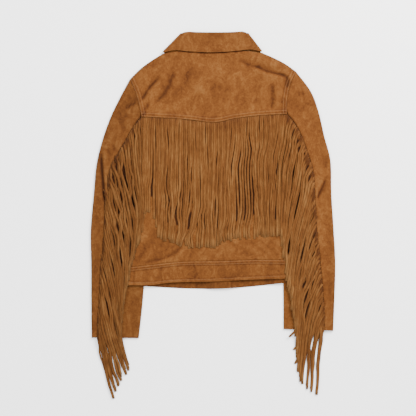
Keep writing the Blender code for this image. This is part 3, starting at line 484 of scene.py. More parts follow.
def inward(plan, u, v, axis):
    """Unit plan directions from an edge of a patch into it; axis is the one that leaves it."""
    step = 0.004
    half = np.full_like(u, 0.5)
    if axis == "u":
        tangent = plan(u, np.minimum(v + step, 1.0)) - plan(u, np.maximum(v - step, 0.0))
        inside = plan(half, v) - plan(u, v)
    else:
        tangent = plan(np.minimum(u + step, 1.0), v) - plan(np.maximum(u - step, 0.0), v)
        inside = plan(u, half) - plan(u, v)
    normal = unit(np.stack([-tangent[..., 1], tangent[..., 0]], axis=-1))
    facing = np.sign((normal * inside).sum(-1))[..., None]
    return normal * np.where(facing == 0, 1.0, facing)


def lattice_noise(x, y, cell, seed):
    """Smooth uneven heights from -1 to 1, with swells about as wide as cell."""
    side = 64
    table = np.random.default_rng(seed).uniform(-1.0, 1.0, (side, side))
    gx, gy = x / cell + 31.3, y / cell + 17.7
    ix, iy = np.floor(gx).astype(int), np.floor(gy).astype(int)
    fx, fy = smoothstep(gx - ix), smoothstep(gy - iy)
    corner = [[table[(ix + i) % side, (iy + j) % side] for j in (0, 1)] for i in (0, 1)]
    low = corner[0][0] * (1 - fx) + corner[1][0] * fx
    high = corner[0][1] * (1 - fx) + corner[1][1] * fx
    return low * (1 - fy) + high * fy


# ================================================================ heights of the layers
SIDE_ROWS = {side: tuple(reversed(SIDE[side])) + ARMHOLE_LOWER[side][1:] for side in SIDE}
INNER_FOLD = {side: tuple(Place(row.inner_x, row.inner_y) for row in SLEEVE[side])
              for side in SLEEVE}
SEWN_SEAM = {side: tuple(Place(row.seam_x, row.seam_y) for row in SLEEVE[side])
             for side in SLEEVE}
CUFF_Y = {side: SLEEVE[side][-1].seam_y for side in SLEEVE}


def side_x(side, y):
    """x of the body's side, and above the underarm of the armhole."""
    return across_y(SIDE_ROWS[side], y)


def inside_of(side, x, line_x):
    """Distance of x from a line towards the jacket's middle."""
    return x - line_x if side == "left" else line_x - x


def armpit_fade(side, y):
    """1 below the underarm point, fading to 0 above it."""
    return 1.0 - smoothstep((y - SIDE[side][0].y) / ARMPIT_FADE)


def over_sleeve(x, y):
    """1 where the body lies on a sleeve, ramping to 0 towards the middle."""
    share = np.zeros(np.shape(x))
    for side in ("left", "right"):
        beyond = inside_of(side, x, across_y(INNER_FOLD[side], y))
        lifted = armpit_fade(side, y) * (1.0 - smoothstep(beyond / LIFT_RAMP))
        share = np.maximum(share, lifted)
    return share


def opening_x(y):
    """x of the fronts' centre line."""
    top, bottom = OPENING
    return top.x + (bottom.x - top.x) * (top.y - y) / (top.y - bottom.y)


def crease_height(x, y, creases, spread=1.0):
    """Height of the listed folds at these places; a spread over 1 is their soft shade instead."""
    height = np.zeros(np.shape(x))
    for crease in creases:
        line = through(((crease.x0, crease.y0), (crease.x1, crease.y1), (crease.x2, crease.y2)),
                       np.linspace(0.0, 1.0, 9))
        width = crease.width * spread
        reach = 4.0 * width
        near = ((x > line[:, 0].min() - reach) & (x < line[:, 0].max() + reach)
                & (y > line[:, 1].min() - reach) & (y < line[:, 1].max() + reach))
        if not near.any():
            continue
        px, py = x[near], y[near]
        best = np.full(px.shape, np.inf)
        sideways = np.zeros(px.shape)
        along = np.zeros(px.shape)
        for k, (start, end) in enumerate(zip(line[:-1], line[1:])):
            run = end - start
            length = np.linalg.norm(run)
            rx, ry = px - start[0], py - start[1]
            raw = (rx * run[0] + ry * run[1]) / length**2
            share = np.clip(raw, 0.0, 1.0)
            gap = np.hypot(rx - share * run[0], ry - share * run[1])
            closer = gap < best
            best = np.where(closer, gap, best)
            hand = np.sign(run[0] * ry - run[1] * rx)
            sideways = np.where(closer, hand * gap, sideways)
            along = np.where(closer, (k + share) / (len(line) - 1), along)
        ends = smoothstep(along / 0.25 + 0.25) * smoothstep((1.0 - along) / 0.25 + 0.25)
        hand = 1.0 if crease.lip > 0 else -1.0
        lip = abs(crease.lip) * ridge(hand * sideways / width - 2.1, 1.3)
        height[near] += crease.height * ends * (ridge(sideways, width) - lip)
    return height


def fine_height(x, y):
    """The sharper creases, and the slow unevenness of the cloth."""
    broad = 0.35 * lattice_noise(x, y, cell=26.0, seed=11)
    narrow = 0.16 * lattice_noise(x, y, cell=11.0, seed=12)
    return crease_height(x, y, CREASES) + broad + narrow


def leaf_lift(x, y):
    """Lift of the fronts over the collar's leaves."""
    upward = smoothstep((y - LEAF_BOTTOM) / LEAF_RAMP)
    outward = 1.0 - smoothstep((np.abs(x) - LEAF_SIDE) / LEAF_SIDE_RAMP)
    return LEAF_LIFT * upward * outward


def front_height(x, y):
    """Middle of a front panel's wall, away from the lapped opening."""
    return FLOOR_Z + SLEEVE_LIFT * over_sleeve(x, y) + leaf_lift(x, y)


def outer_front_height(x, y):
    """The right front, which laps outside and carries the buttons."""
    base = front_height(x, y)
    near = 1.0 - smoothstep((x - opening_x(y) - LAP) / PLACKET_RAMP)
    return base + np.maximum(BUTTON_HEIGHT + LAY_GAP + WALL / 2 - base, 0.0) * near


def inner_front_height(x, y):
    """The left front, which laps inside, over the right one."""
    base = front_height(x, y)
    near = 1.0 - smoothstep((opening_x(y) - LAP - LAP_CLEAR - x) / PLACKET_RAMP)
    return base + np.maximum(BUTTON_HEIGHT + 2 * LAY_GAP + 1.5 * WALL - base, 0.0) * near


def back_height(x, y):
    """Middle of the back's and the yoke's wall."""
    aside = np.abs(x - opening_x(y)) - LAP
    crown = PLACKET_CROWN * (1.0 - smoothstep(aside / (2 * PLACKET_RAMP)))
    neck = smoothstep((NECK_EASE_Y - y) / NECK_EASE_RAMP)
    large = crease_height(x, y, LARGE_FOLDS)
    return BACK_Z + BACK_LIFT * over_sleeve(x, y) + crown * neck + large


def pressed_by_body(side, x, y):
    """1 where the body's edge presses on a sleeve, ramping to 0 outside it."""
    beneath = smoothstep((inside_of(side, x, side_x(side, y)) + PRESS_REACH) / PRESS_RAMP)
    return beneath * armpit_fade(side, y)


def sleeve_height(side, x, y):
    """Middle of a sleeve's top wall."""
    pressed = pressed_by_body(side, x, y)
    large = crease_height(x, y, LARGE_FOLDS) * (1.0 - pressed)
    return BACK_Z - (BACK_Z - PRESSED_Z) * pressed + large


# ================================================================ meshes
class Panel:
    """Places of a panel's grid, with each place's distance from the panel's edges in mm."""

    def __init__(self, points, heights):
        self.x, self.y = points[..., 0], points[..., 1]
        self.z = heights
        self.start_u = self._run(points, 0, False)
        self.end_u = self._run(points, 0, True)
        self.start_v = self._run(points, 1, False)
        self.end_v = self._run(points, 1, True)
        # Random differences in the suede's colour, plus painted shade and painted light from folds, seams
        # and strips.
        self.tone = np.zeros(heights.shape)

    @staticmethod
    def _run(points, axis, back):
        """Distance along the grid from its first edge, or back from its last."""
        steps = np.linalg.norm(np.diff(points, axis=axis), axis=-1)
        pad = [(0, 0), (0, 0)]
        pad[axis] = (1, 0)
        total = np.cumsum(np.pad(steps, pad), axis=axis)
        return np.take(total, [-1], axis=axis) - total if back else total

    def press(self, distance, depth, width):
        """A soft line pressed in where the distance is 0, with painted shade in it."""
        dip = ridge(distance, width)
        self.z -= depth * dip
        # painted shade in the pressed line
        self.tone -= 0.3 * dip

    def sew(self, rows):
        """Rows of stitches pulled in beside each edge, pale along them and with painted shade beyond them.
        """
        for edge, places in rows.items():
            for at in places:
                distance = getattr(self, edge) - at
                self.z -= 0.5 * ridge(distance, 0.75)
                # pale along each row, and painted shade 3 mm beyond it
                self.tone += 0.3 * ridge(distance, 1.2) - 0.7 * ridge(distance - 3.0, 1.3)

    def crease(self, share, lowest=0.0):
        """Folds and unevenness, with painted shade in their troughs and painted light on their rises, kept
        above the lowest height given.
        """
        sharp = fine_height(self.x, self.y) * share
        soft = crease_height(self.x, self.y, CREASES, spread=1.9) * share
        large = crease_height(self.x, self.y, LARGE_FOLDS) * share
        self.z = np.maximum(self.z + 1.3 * sharp, np.minimum(self.z, lowest))
        # painted shade and light that follow the folds' heights
        self.tone = self.tone + 0.5 * sharp + 0.3 * soft + 0.1 * large

    def raise_edge(self, distance, height, width, ramp):
        """A band of several thicknesses along an edge."""
        self.z += height * (1.0 - smoothstep((distance - width) / ramp))


FINE_BAND = 10.0         # width beside a sewn edge where a panel's places are close together
FINE_STEP = 0.8


def stations(length, step, fine_start=False, fine_end=False):
    """Places from 0 to 1 over a length in mm, closer together beside a sewn edge."""
    start = FINE_BAND if fine_start else 0.0
    end = length - FINE_BAND if fine_end else length
    places = [np.linspace(start, end, max(int((end - start) / step), 2) + 1)]
    if fine_start:
        places.insert(0, np.arange(0.0, start, FINE_STEP))
    if fine_end:
        places.append(np.arange(length, end, -FINE_STEP)[::-1])
    return np.unique(np.concatenate(places)) / length


def rolled(places, start=0, end=0):
    """Adds stations of a rolled edge at either end; returns places and turns (1 outermost)."""
    turns = np.zeros(len(places))
    if start:
        places = np.concatenate([np.zeros(start), places])
        turns = np.concatenate([np.linspace(1.0, 1.0 / start, start), turns])
    if end:
        places = np.concatenate([places, np.ones(end)])
        turns = np.concatenate([turns, np.linspace(1.0 / end, 1.0, end)])
    return places, turns


def laid(plan, height, other, upper, across, down, rolls_u=None, rolls_v=None):
    """Grid of a body panel: its places in plan and their heights.

    rolls_u(v, at) and rolls_v(u, at) give the share of the turn towards the other layer.
    """
    (us, turn_u), (vs, turn_v) = across, down
    u, v = np.meshgrid(us, vs, indexing="ij")
    tu, tv = np.meshgrid(turn_u, turn_v, indexing="ij")
    edge = plan(u, v)
    points = edge.copy()
    x, y = edge[..., 0], edge[..., 1]
    radius = np.maximum(np.abs(height(x, y) - other(x, y)) / 2, WALL)
    whole = np.arccos(ROLL_CLEARANCE / (radius - WALL / 2))
    drop = np.zeros(u.shape)
    for axis, at, turn, rolls in (("u", u, tu, rolls_u), ("v", v, tv, rolls_v)):
        on_edge = (at <= 0.0) | (at >= 1.0)
        along = v if axis == "u" else u
        share = np.zeros(u.shape) if rolls is None else rolls(along, at) * on_edge
        angle = whole * turn
        stand_in = share * radius * (np.sin(whole) - np.sin(angle)) + SEAM_GAP / 2 * (1 - share)
        into = inward(plan, u, v, axis)
        points = points + into * (stand_in * on_edge)[..., None]
        drop = drop + share * radius * (1.0 - np.cos(angle))
    z = height(points[..., 0], points[..., 1])
    return points, z - drop if upper else z + drop


def in_frame(points):
    """Places in the frame, in metres, from places in mm in the jacket's plan."""
    return (points - (MIDDLE.x, MIDDLE.y, 0.0)) * MM


def mesh_from(name, bm):
    """A mesh from a finished bmesh."""
    mesh = bpy.data.meshes.new(name)
    bm.to_mesh(mesh)
    bm.free()
    return mesh


def grid_mesh(name, points, numbers, strip=None):
    """A mesh of a grid of places in mm, with named numbers at each place.

    With strip, the grid is cut apart into strips of so many rows.
    """
    rows, columns = points.shape[:2]
    bm = bmesh.new()
    bmesh.ops.create_grid(bm, x_segments=rows - 1, y_segments=columns - 1, size=1.0)
    spots = (np.array([vert.co[:2] for vert in bm.verts]) + 1.0) / 2
    i = np.rint(spots[:, 0] * (rows - 1)).astype(int)
    j = np.rint(spots[:, 1] * (columns - 1)).astype(int)
    for vert, place in zip(bm.verts, in_frame(points)[i, j].tolist()):
        vert.co = place
    for label, values in numbers.items():
        layer = bm.verts.layers.float.new(label)
        for vert, value in zip(bm.verts, values[i, j].tolist()):
            vert[layer] = value
    if strip:
        bm.verts.index_update()
        owner = (i // strip).tolist()
        between = [edge for edge in bm.edges
                   if owner[edge.verts[0].index] != owner[edge.verts[1].index]]
        bmesh.ops.delete(bm, geom=between, context="EDGES")
    else:
        bmesh.ops.recalc_face_normals(bm, faces=bm.faces[:])
    return mesh_from(name, bm)


def walled(piece, wall):
    """Gives a piece its wall, in mm, half of it on each side of the mesh."""
    solid = piece.modifiers.new("wall", "SOLIDIFY")
    solid.thickness = wall * MM
    solid.offset = 0.0
    return piece


def cloth(name, panel, material):
    """A suede panel from its grid, with its tone and painted shade as an attribute."""
    height = np.maximum(panel.z, FLOOR_Z)
    points = np.stack([panel.x, panel.y, height], axis=-1)
    mesh = grid_mesh(name, points, {"tone": panel.tone})
    return walled(finished(name, mesh, material), WALL)


def finished(name, mesh, material):
    """A piece of the jacket from its mesh."""
    mesh.shade_smooth()
    mesh.materials.append(material)
    piece = bpy.data.objects.new(name, mesh)
    bpy.context.scene.collection.objects.link(piece)
    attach(piece, "root")
    return piece


def flat_size(panel):
    """Width, length and area in metres of the cloth that a panel is cut from."""
    points = np.stack([panel.x, panel.y, panel.z], axis=-1) * MM
    a, b, c, d = points[:-1, :-1], points[1:, :-1], points[1:, 1:], points[:-1, 1:]
    area = sum(np.linalg.norm(np.cross(p - a, q - a), axis=-1).sum() / 2
               for p, q in ((b, c), (c, d)))
    width = float(panel.start_u[-1].max() * MM)
    length = float(panel.start_v[:, -1].max() * MM)
    return (width, length), float(min(area, 0.999 * width * length))


def declare(panel):
    """Works out a panel's flat size and area, and does nothing more with them."""
    flat, area = flat_size(panel)


# ================================================================ strips and stitches
STRIP_BOW = 0.06         # how far a strip's middle sags, as a share of its width


def ribbons(name, lines, widths, sides, material, tones_and_painted_shade):
    """Flat strips in one mesh: middle lines (strips, stations, 3) mm, and their side vectors.

    A strip is three places wide. Its edge attribute is 1 at its cut edges and 0 between.
    """
    count, length = lines.shape[:2]
    half = (widths[..., None] / 2) * sides
    sag = STRIP_BOW * widths[..., None] * np.cross(unit(np.gradient(lines, axis=1)), sides)
    rows = np.stack([lines - half, lines + sag, lines + half], axis=1).reshape(-1, length, 3)
    edge = np.broadcast_to(np.tile([1.0, 0.0, 1.0], count)[:, None], (3 * count, length))
    mesh = grid_mesh(name, rows, {"edge": edge, "tone": np.repeat(tones_and_painted_shade, 3, axis=0)}, strip=3)
    piece = finished(name, mesh, material)
    return walled(piece, bpy.context.scene.jacket_sizes.strip_wall / MM)


GAP_REACH = 9.0          # how far a gap pushes the strips beside it, dying out slowly
LEAN_REACH = 14.0        # and how far its slant carries on among them
GAP_ENDS = 0.45          # over how much of its length a gap opens and closes


def open_gaps(x, y, gaps, strength, slant):
    """Moves strips sideways off the middle of each gap; x and y are (strips, stations)."""
    moved = x.copy()
    strip = np.arange(len(x))
    for gap in gaps:
        high, low = max(gap.y0, gap.y1), min(gap.y0, gap.y1)
        run = (high - y) / (high - low)
        line = gap.x0 + (gap.x1 - gap.x0) * np.clip(run, -0.6, 1.6)
        nearest = np.abs(y - (high + low) / 2).argmin(axis=1)
        hand = np.sign(x[strip, nearest] - line[strip, nearest])[:, None]
        opens = smoothstep(run / GAP_ENDS + 0.5)
        closes = smoothstep((1.0 - run) / GAP_ENDS + 0.5)
        aside = np.abs(x - line)
        push = hand * (gap.width * strength + 0.5) * opens * closes
        lean = (gap.x1 - gap.x0) * slant * smoothstep(run)
        moved += push * np.exp(-aside / GAP_REACH) + lean * np.exp(-aside / LEAN_REACH)
    return moved


def wander(shape, seed, cell, share=0.5):
    """Uneven numbers from about -1 to 1 that change slowly along each strip and across them."""
    count, length = shape
    strip, place = np.meshgrid(np.arange(count) * 1.0, np.arange(length) * 1.0, indexing="ij")
    together = lattice_noise(strip, place, cell, seed)
    alone = lattice_noise(strip * 37.0, place, cell, seed + 1)
    return share * together + (1.0 - share) * alone


def strip_sides(lines, tilt):
    """Unit vectors across each strip, level ones turned by tilt about the strip."""
    along = unit(np.gradient(lines, axis=1))
    level = unit(np.stack([along[..., 1], -along[..., 0], np.zeros(along.shape[:2])], axis=-1))
    up = np.cross(level, along)
    return level * np.cos(tilt)[..., None] + up * np.sin(tilt)[..., None]


STITCH_PITCH = 1.22      # from one stitch to the next, as a share of a stitch's length
THREAD_WIDTH = 0.75
THREAD_HEIGHT = 0.55


def distance_along(line):
    """The distance from a line's start to each of its places."""
    steps = np.linalg.norm(np.diff(line, axis=0), axis=1)
    return np.concatenate([[0.0], np.cumsum(steps)])


def stitch_row(line, length):
    """One row of stitches as a mesh, along a line (places, 3) in mm."""
    run = distance_along(line)
    pitch = length * STITCH_PITCH
    starts = np.arange(pitch, run[-1] - pitch, pitch)
    middle, ahead = (np.stack([np.interp(starts + step, run, line[:, k]) for k in range(3)],
                              axis=1) for step in (0.0, 0.5))
    along = unit(ahead - middle)
    level = unit(np.stack([-along[:, 1], along[:, 0], np.zeros(len(along))], axis=1))
    axes = np.stack([along * length, level * THREAD_WIDTH,
                     np.cross(along, level) * THREAD_HEIGHT], axis=-1) * MM
    bm = bmesh.new()
    for spot, turn in zip(in_frame(middle).tolist(), axes.tolist()):
        bmesh.ops.create_uvsphere(bm, u_segments=6, v_segments=4, radius=0.5,
                                  matrix=Matrix.Translation(spot) @ Matrix(turn).to_4x4())
    return mesh_from("row", bm)


def stitch_mesh(name, lines, material):
    """Rows of stitches in one piece, a row along each line."""
    length = bpy.context.scene.jacket_sizes.stitch / MM
    bm = bmesh.new()
    for line in lines:
        row = stitch_row(line, length)
        bm.from_mesh(row)
        bpy.data.meshes.remove(row)
    return finished(name, mesh_from(name, bm), material)


def seam_row(panel, edge, at):
    """A line on a panel's face at a distance from one of its edges, for a row of stitches."""
    distance = getattr(panel, edge)
    axis = 0 if edge.endswith("u") else 1
    order = np.moveaxis(np.stack([distance, panel.x, panel.y, panel.z], axis=-1), axis, 0)
    line = []
    for k in range(order.shape[1]):
        run = order[:, k]
        run = run[np.argsort(run[:, 0], kind="stable")]
        line.append([np.interp(at, run[:, 0], run[:, n]) for n in (1, 2, 3)])
    return np.array(line) + (0.0, 0.0, WALL / 2)


# ================================================================ finishes
class Value:
    """A shader socket that takes Python's arithmetic."""

    def __init__(self, shop, socket):
        self.shop, self.socket = shop, socket

    def _math(self, operation, first, second):
        return self.shop.node("Math", {"operation": operation}, {0: first, 1: second})

    def __add__(self, other):
        return self._math("ADD", self, other)

    def __radd__(self, other):
        return self._math("ADD", other, self)

    def __sub__(self, other):
        return self._math("SUBTRACT", self, other)

    def __rsub__(self, other):
        return self._math("SUBTRACT", other, self)

    def __mul__(self, other):
        return self._math("MULTIPLY", self, other)

    def __rmul__(self, other):
        return self._math("MULTIPLY", other, self)

    def clamped(self, low, high):
        """Moved to 0 at low and 1 at high, and held between them."""
        settings = {"clamp": True, "interpolation_type": "LINEAR"}
        return self.shop.node("MapRange", settings, {0: self, 1: low, 2: high, 3: 0.0, 4: 1.0})


class Finish:
    """One procedural material, its nodes made by one method."""

    def __init__(self, name):
        self.material = bpy.data.materials.new(name)
        self.material.use_nodes = True
        self.tree = self.material.node_tree
        self.shader = self.tree.nodes["Principled BSDF"]

    def node(self, kind, settings=(), values=(), out=0):
        """A node of a type, with its settings first, then its sockets' values or links."""
        made = self.tree.nodes.new("ShaderNode" + kind)
        for name, value in dict(settings).items():
            setattr(made, name, value)
        for key, value in dict(values).items():
            self.feed(made.inputs[key], value)
        return Value(self, made.outputs[out])

    def feed(self, socket, value):
        """Links a Value to a socket, or sets the socket to a number or colour."""
        if isinstance(value, Value):
            self.tree.links.new(value.socket, socket)
        elif hasattr(value, "__len__") and socket.type == "RGBA":
            socket.default_value = (*value[:3], 1.0)
        else:
            socket.default_value = value

    def place(self, scale=(1.0, 1.0, 1.0), turn=0.0):
        """Object coordinates, stretched and turned about Z."""
        spot = self.node("TexCoord", out=3)
        return self.node("Mapping", {}, {"Vector": spot, "Scale": scale,
                                         "Rotation": (0.0, 0.0, turn)})

    def noise(self, where, scale, detail=3.0, roughness=0.55, warp=0.0):
        """Noise from 0 to 1 whose grains are about 1 / scale metres wide."""
        return self.node("TexNoise", {}, {"Vector": where, "Scale": scale, "Detail": detail,
                                          "Roughness": roughness, "Distortion": warp})

    def attribute(self, name):
        """A number stored on the piece's mesh."""
        return self.node("Attribute", {"attribute_name": name}, out=2)

    def blend(self, share, first, second):
        """A colour between two others."""
        return self.node("Mix", {"data_type": "RGBA"}, {0: share, 6: first, 7: second}, out=2)

    def bump(self, height, distance, strength):
        """A normal from a height from 0 to 1 that stands for a distance in metres."""
        return self.node("Bump", {}, {"Height": height, "Distance": distance,
                                      "Strength": strength})


def scaled(colour, depth):
    """A colour made lighter or darker; depth is one number, or one for each channel."""
    return tuple(np.array(colour) * depth)


def weighed(noises, tone):
    """The sum of (noise, weight) pairs, centred on 0.5 and moved by a tone that carries painted shade and
    light.
    """
    weights = sum(weight for _, weight in noises)
    return sum(noise * weight for noise, weight in noises) + tone + 0.5 * (1.0 - weights)


def nap_and_painted_shade(finish, mix, depth, reach):
    """The colour of suede: darker where mix is under 0.5 and paler where it is over, for the nap's mottle
    and for painted shade and light.

    Also gives the share of the darker colour.
    """
    colours = bpy.context.scene.jacket_colours
    dark = (0.5 - mix).clamped(0.0, reach)
    pale = (mix - 0.5).clamped(0.0, reach)
    lower = finish.blend(dark, scaled(colours.suede, depth), scaled(colours.shade, depth))
    return finish.blend(pale, lower, scaled(colours.pale, depth)), dark


def unglossed(finish, colour, roughness, normal):
    """Suede's own response: no gloss and a soft sheen from its nap."""
    finish.feed(finish.shader.inputs["Base Color"], colour)
    finish.feed(finish.shader.inputs["Roughness"], roughness)
    finish.feed(finish.shader.inputs["Normal"], normal)
    finish.shader.inputs["Specular IOR Level"].default_value = 0.05
    finish.shader.inputs["Sheen Weight"].default_value = 0.07
    finish.shader.inputs["Sheen Roughness"].default_value = 0.55
    finish.shader.inputs["Sheen Tint"].default_value = (1.0, 0.72, 0.42, 1.0)
    return finish.material


def suede_finish(name, depth, turn):
    """Brushed suede: blotches, mottle and grain, and painted near-black shadow under strips, below edges and
    in deep creases.
    """
    finish = Finish(name)
    level = finish.place()
    brushed = finish.place((1.0, 0.62, 1.0), turn)
    blotch = finish.noise(level, scale=14.0, detail=2.0, roughness=0.5, warp=0.4)
    mottle = finish.noise(brushed, scale=52.0, detail=4.0, roughness=0.62, warp=1.6)
    fleck = finish.noise(level, scale=190.0, detail=3.0, roughness=0.65, warp=1.2)
    grain = finish.noise(brushed, scale=620.0, detail=3.0, roughness=0.65)
    fine = finish.noise(level, scale=2100.0, detail=2.0, roughness=0.6)
    tone = finish.attribute("tone")
    mix = weighed([(blotch, 0.6), (mottle, 1.4), (fleck, 1.2), (grain, 0.5), (fine, 0.2)],
                  tone * 0.5)
    face, dark = nap_and_painted_shade(finish, mix, depth, 0.65)
    # painted shadow: near black where the tone is lowest
    painted_shadow = tone.clamped(-0.7, -2.4)
    colour = finish.blend(painted_shadow, face, bpy.context.scene.jacket_colours.cut_edge_and_shadow)
    height = grain * 0.6 + fine * 0.25 + mottle * 0.9
    normal = finish.bump(height, distance=0.0006, strength=0.55)
    return unglossed(finish, colour, 0.95 - 0.12 * dark, normal)


FRINGE_CAST = np.array((0.99, 1.07, 1.16))   # the strips are a little greyer than the panels


def fringe_finish(name, depth):
    """Cut suede: streaks along the strips, and their cut edges dark, partly their own colour and partly
    painted shade between strips.
    """
    finish = Finish(name)
    level = finish.place()
    blotch = finish.noise(level, scale=30.0, detail=3.0, roughness=0.6, warp=0.5)
    streak = finish.noise(finish.place((1.0, 0.16, 1.0)), scale=360.0, detail=3.0, roughness=0.6,
                          warp=0.4)
    grain = finish.noise(level, scale=900.0, detail=3.0, roughness=0.65)
    mix = weighed([(blotch, 0.8), (streak, 1.5), (grain, 0.6)], finish.attribute("tone"))
    face = nap_and_painted_shade(finish, mix, depth * FRINGE_CAST, 0.7)[0]
    # dark cut edges: their own colour, deepened as painted shade between strips
    cut = finish.attribute("edge").clamped(0.72, 1.1) * 0.7
    colour = finish.blend(cut, face, bpy.context.scene.jacket_colours.cut_edge_and_shadow)
    height = grain * 0.5 + streak * 0.6
    return unglossed(finish, colour, 0.94, finish.bump(height, distance=0.0005, strength=0.5))


def thread_finish():
    """Twisted sewing thread."""
    finish = Finish("thread")
    colours = bpy.context.scene.jacket_colours
    twist = finish.noise(finish.place(), scale=2600.0, detail=2.0)
    colour = finish.blend(twist, scaled(colours.thread, 0.72), colours.thread)
    finish.feed(finish.shader.inputs["Base Color"], colour)
    normal = finish.bump(twist, distance=0.0002, strength=0.5)
    finish.feed(finish.shader.inputs["Normal"], normal)
    finish.shader.inputs["Roughness"].default_value = 0.7
    return finish.material


def button_finish():
    """Plain dark horn with a faint cloudiness."""
    finish = Finish("button_horn")
    colours = bpy.context.scene.jacket_colours
    cloud = finish.noise(finish.place(), scale=260.0, detail=4.0)
    colour = finish.blend(cloud.clamped(0.35, 0.75), colours.button, scaled(colours.button, 2.4))
    finish.feed(finish.shader.inputs["Base Color"], colour)
    finish.feed(finish.shader.inputs["Roughness"], 0.28 + 0.18 * cloud)
    return finish.material


# ================================================================ body
SHOULDER_SHARE = 0.2     # how much of the yoke's top edge is one shoulder
UNDERARM_SHARE = 0.66    # where the underarm comes on the back's side, from the waistband up
FRONT_UNDERARM = 0.52    # and on a front's side
FRONT_CORNER = 0.79      # where the yoke's corner comes on a front's side
NECK_SHARE = 0.42        # how much of a front's top edge is its shoulder
ROLL_STATIONS = 5        # places round a rolled edge
PAINTED_SHADOW_TONE = -2.6         # painted near-black shadow, below the collar's edge and beneath strips
SEWN_ROWS = {            # rows of stitches: their distances in mm from the edges of a piece
    "yoke_suede": {"start_v": (1.9, 8.2), "start_u": (1.9, 8.2), "end_u": (1.9, 8.2)},
    "waistband_suede_back": {"end_v": (1.8, 7.6), "start_v": (6.0,)},
}
BAND_END_SEAMS = {"start_u": 15.0, "end_u": 14.0}
BUILT = {}               # pieces, panels and what they rest on by name, for the stitches


def body_side(side, t):
    """The back's side, from the waistband seam up to the yoke's corner."""
    parts = ((UNDERARM_SHARE, SIDE[side], True), (1 - UNDERARM_SHARE, ARMHOLE_LOWER[side], False))
    return joined(parts, t)


def front_side(side, t):
    """A front's side, from the waistband seam up to the shoulder."""
    parts = ((FRONT_UNDERARM, SIDE[side], True),
             (FRONT_CORNER - FRONT_UNDERARM, ARMHOLE_LOWER[side], False),
             (1 - FRONT_CORNER, ARMHOLE_UPPER[side], False))
    return joined(parts, t)


def yoke_top(u):
    """The yoke's top edge: shoulder, neck, shoulder."""
    parts = ((SHOULDER_SHARE, SHOULDER["left"], False),
             (1 - 2 * SHOULDER_SHARE, NECK_BACK, False),
             (SHOULDER_SHARE, SHOULDER["right"], False))
    return joined(parts, u)


def front_neck(side, v):
    """Front neck curve from the shoulder to the opening's edge."""
    if side == "right":
        return through(FRONT_NECK, v)
    centre = 2 * opening_x(FRONT_NECK[-1].y)
    mirrored = [Place(centre - place.x, place.y) for place in FRONT_NECK]
    mirrored[0] = NECK_BACK[0]
    return through(mirrored, v)


def waist_side(side, hem, t):
    """A waistband's end, from the hem up to its seam."""
    return through((hem[0 if side == "left" else -1], SIDE[side][-1]), t)


def cut_at_opening(rows, side):
    """A cross seam's share from a body side to that front's edge, as a curve."""
    away = -1.0 if side == "left" else 1.0
    y = along_x(rows, opening_x(rows[0].y))[1]
    edge = opening_x(y) - away * LAP
    outer = rows[0 if side == "left" else -1].x
    return lambda u: along_x(rows, outer + (edge - outer) * u)


def opening_edge(bottom, top):
    """The straight edge at the opening, between the ends of two cross seams."""
    low, high = bottom(np.array(1.0)), top(np.array(1.0))
    return lambda v: (1 - v[..., None]) * low + v[..., None] * high


def yoke_panel():
    """The yoke: its lower edge and armholes turned in, stitched down twice and raised."""
    plan = patch(lambda u: through(YOKE_SEAM, u), yoke_top,
                 lambda v: through(ARMHOLE_UPPER["left"], v),
                 lambda v: through(ARMHOLE_UPPER["right"], v))
    across = rolled(stations(350, 2.6, fine_start=True, fine_end=True))
    down = rolled(stations(150, 2.4, fine_start=True), end=ROLL_STATIONS)

    def shoulder_roll(u, at):
        beside_neck = np.maximum(SHOULDER_SHARE - u, u - 1 + SHOULDER_SHARE) / 0.02
        return smoothstep(beside_neck) * (at == 1.0)

    panel = Panel(*laid(plan, back_height, front_height, True, across, down,
                        rolls_v=shoulder_roll))
    lowest = front_height(panel.x, panel.y) + WALL + SEAM_GAP
    panel.crease(smoothstep((panel.end_v - 6.0) / 8.0), lowest)
    welt = bpy.context.scene.jacket_sizes.welt / MM
    panel.raise_edge(panel.start_v, height=welt, width=8.5, ramp=5.0)
    for armhole in (panel.start_u, panel.end_u):
        panel.raise_edge(armhole, height=1.3, width=8.5, ramp=4.0)
        panel.press(armhole, depth=1.0, width=1.3)
    panel.sew(SEWN_ROWS["yoke_suede"])
    # painted shadow line on the yoke just below the collar's fall edge
    fall_edge = [(row.edge_x, row.edge_y) for row in COLLAR if row.turn == 0]
    below = along_x(fall_edge, panel.x)[..., 1] - panel.y
    panel.tone += PAINTED_SHADOW_TONE * ridge(below - 0.8, 1.3)
    return panel


def back_panel():
    """The back, which wrinkles above the waistband and has painted shadow beneath the fringe."""
    plan = patch(lambda u: through(WAIST_SEAM, u), lambda u: through(YOKE_SEAM, u),
                 lambda v: body_side("left", v), lambda v: body_side("right", v))
    across = rolled(stations(355, 3.0), start=ROLL_STATIONS, end=ROLL_STATIONS)
    down = rolled(stations(330, 3.0, fine_start=True))

    def side_roll(v, at):
        return smoothstep((UNDERARM_SHARE - v) / 0.02 + 1.0)

    panel = Panel(*laid(plan, back_height, front_height, True, across, down, side_roll))
    edges = np.minimum(panel.start_u, panel.end_u)
    under_fringe = smoothstep((panel.y + 40.0) / 30.0)
    panel.crease(smoothstep((edges - 3.0) / 10.0) * (1.0 - 0.75 * under_fringe))
    # painted near-black shadow where strips cover the back
    panel.tone += PAINTED_SHADOW_TONE * covered(panel.x, panel.y)
    panel.press(panel.start_v, depth=0.8, width=1.2)
    return panel


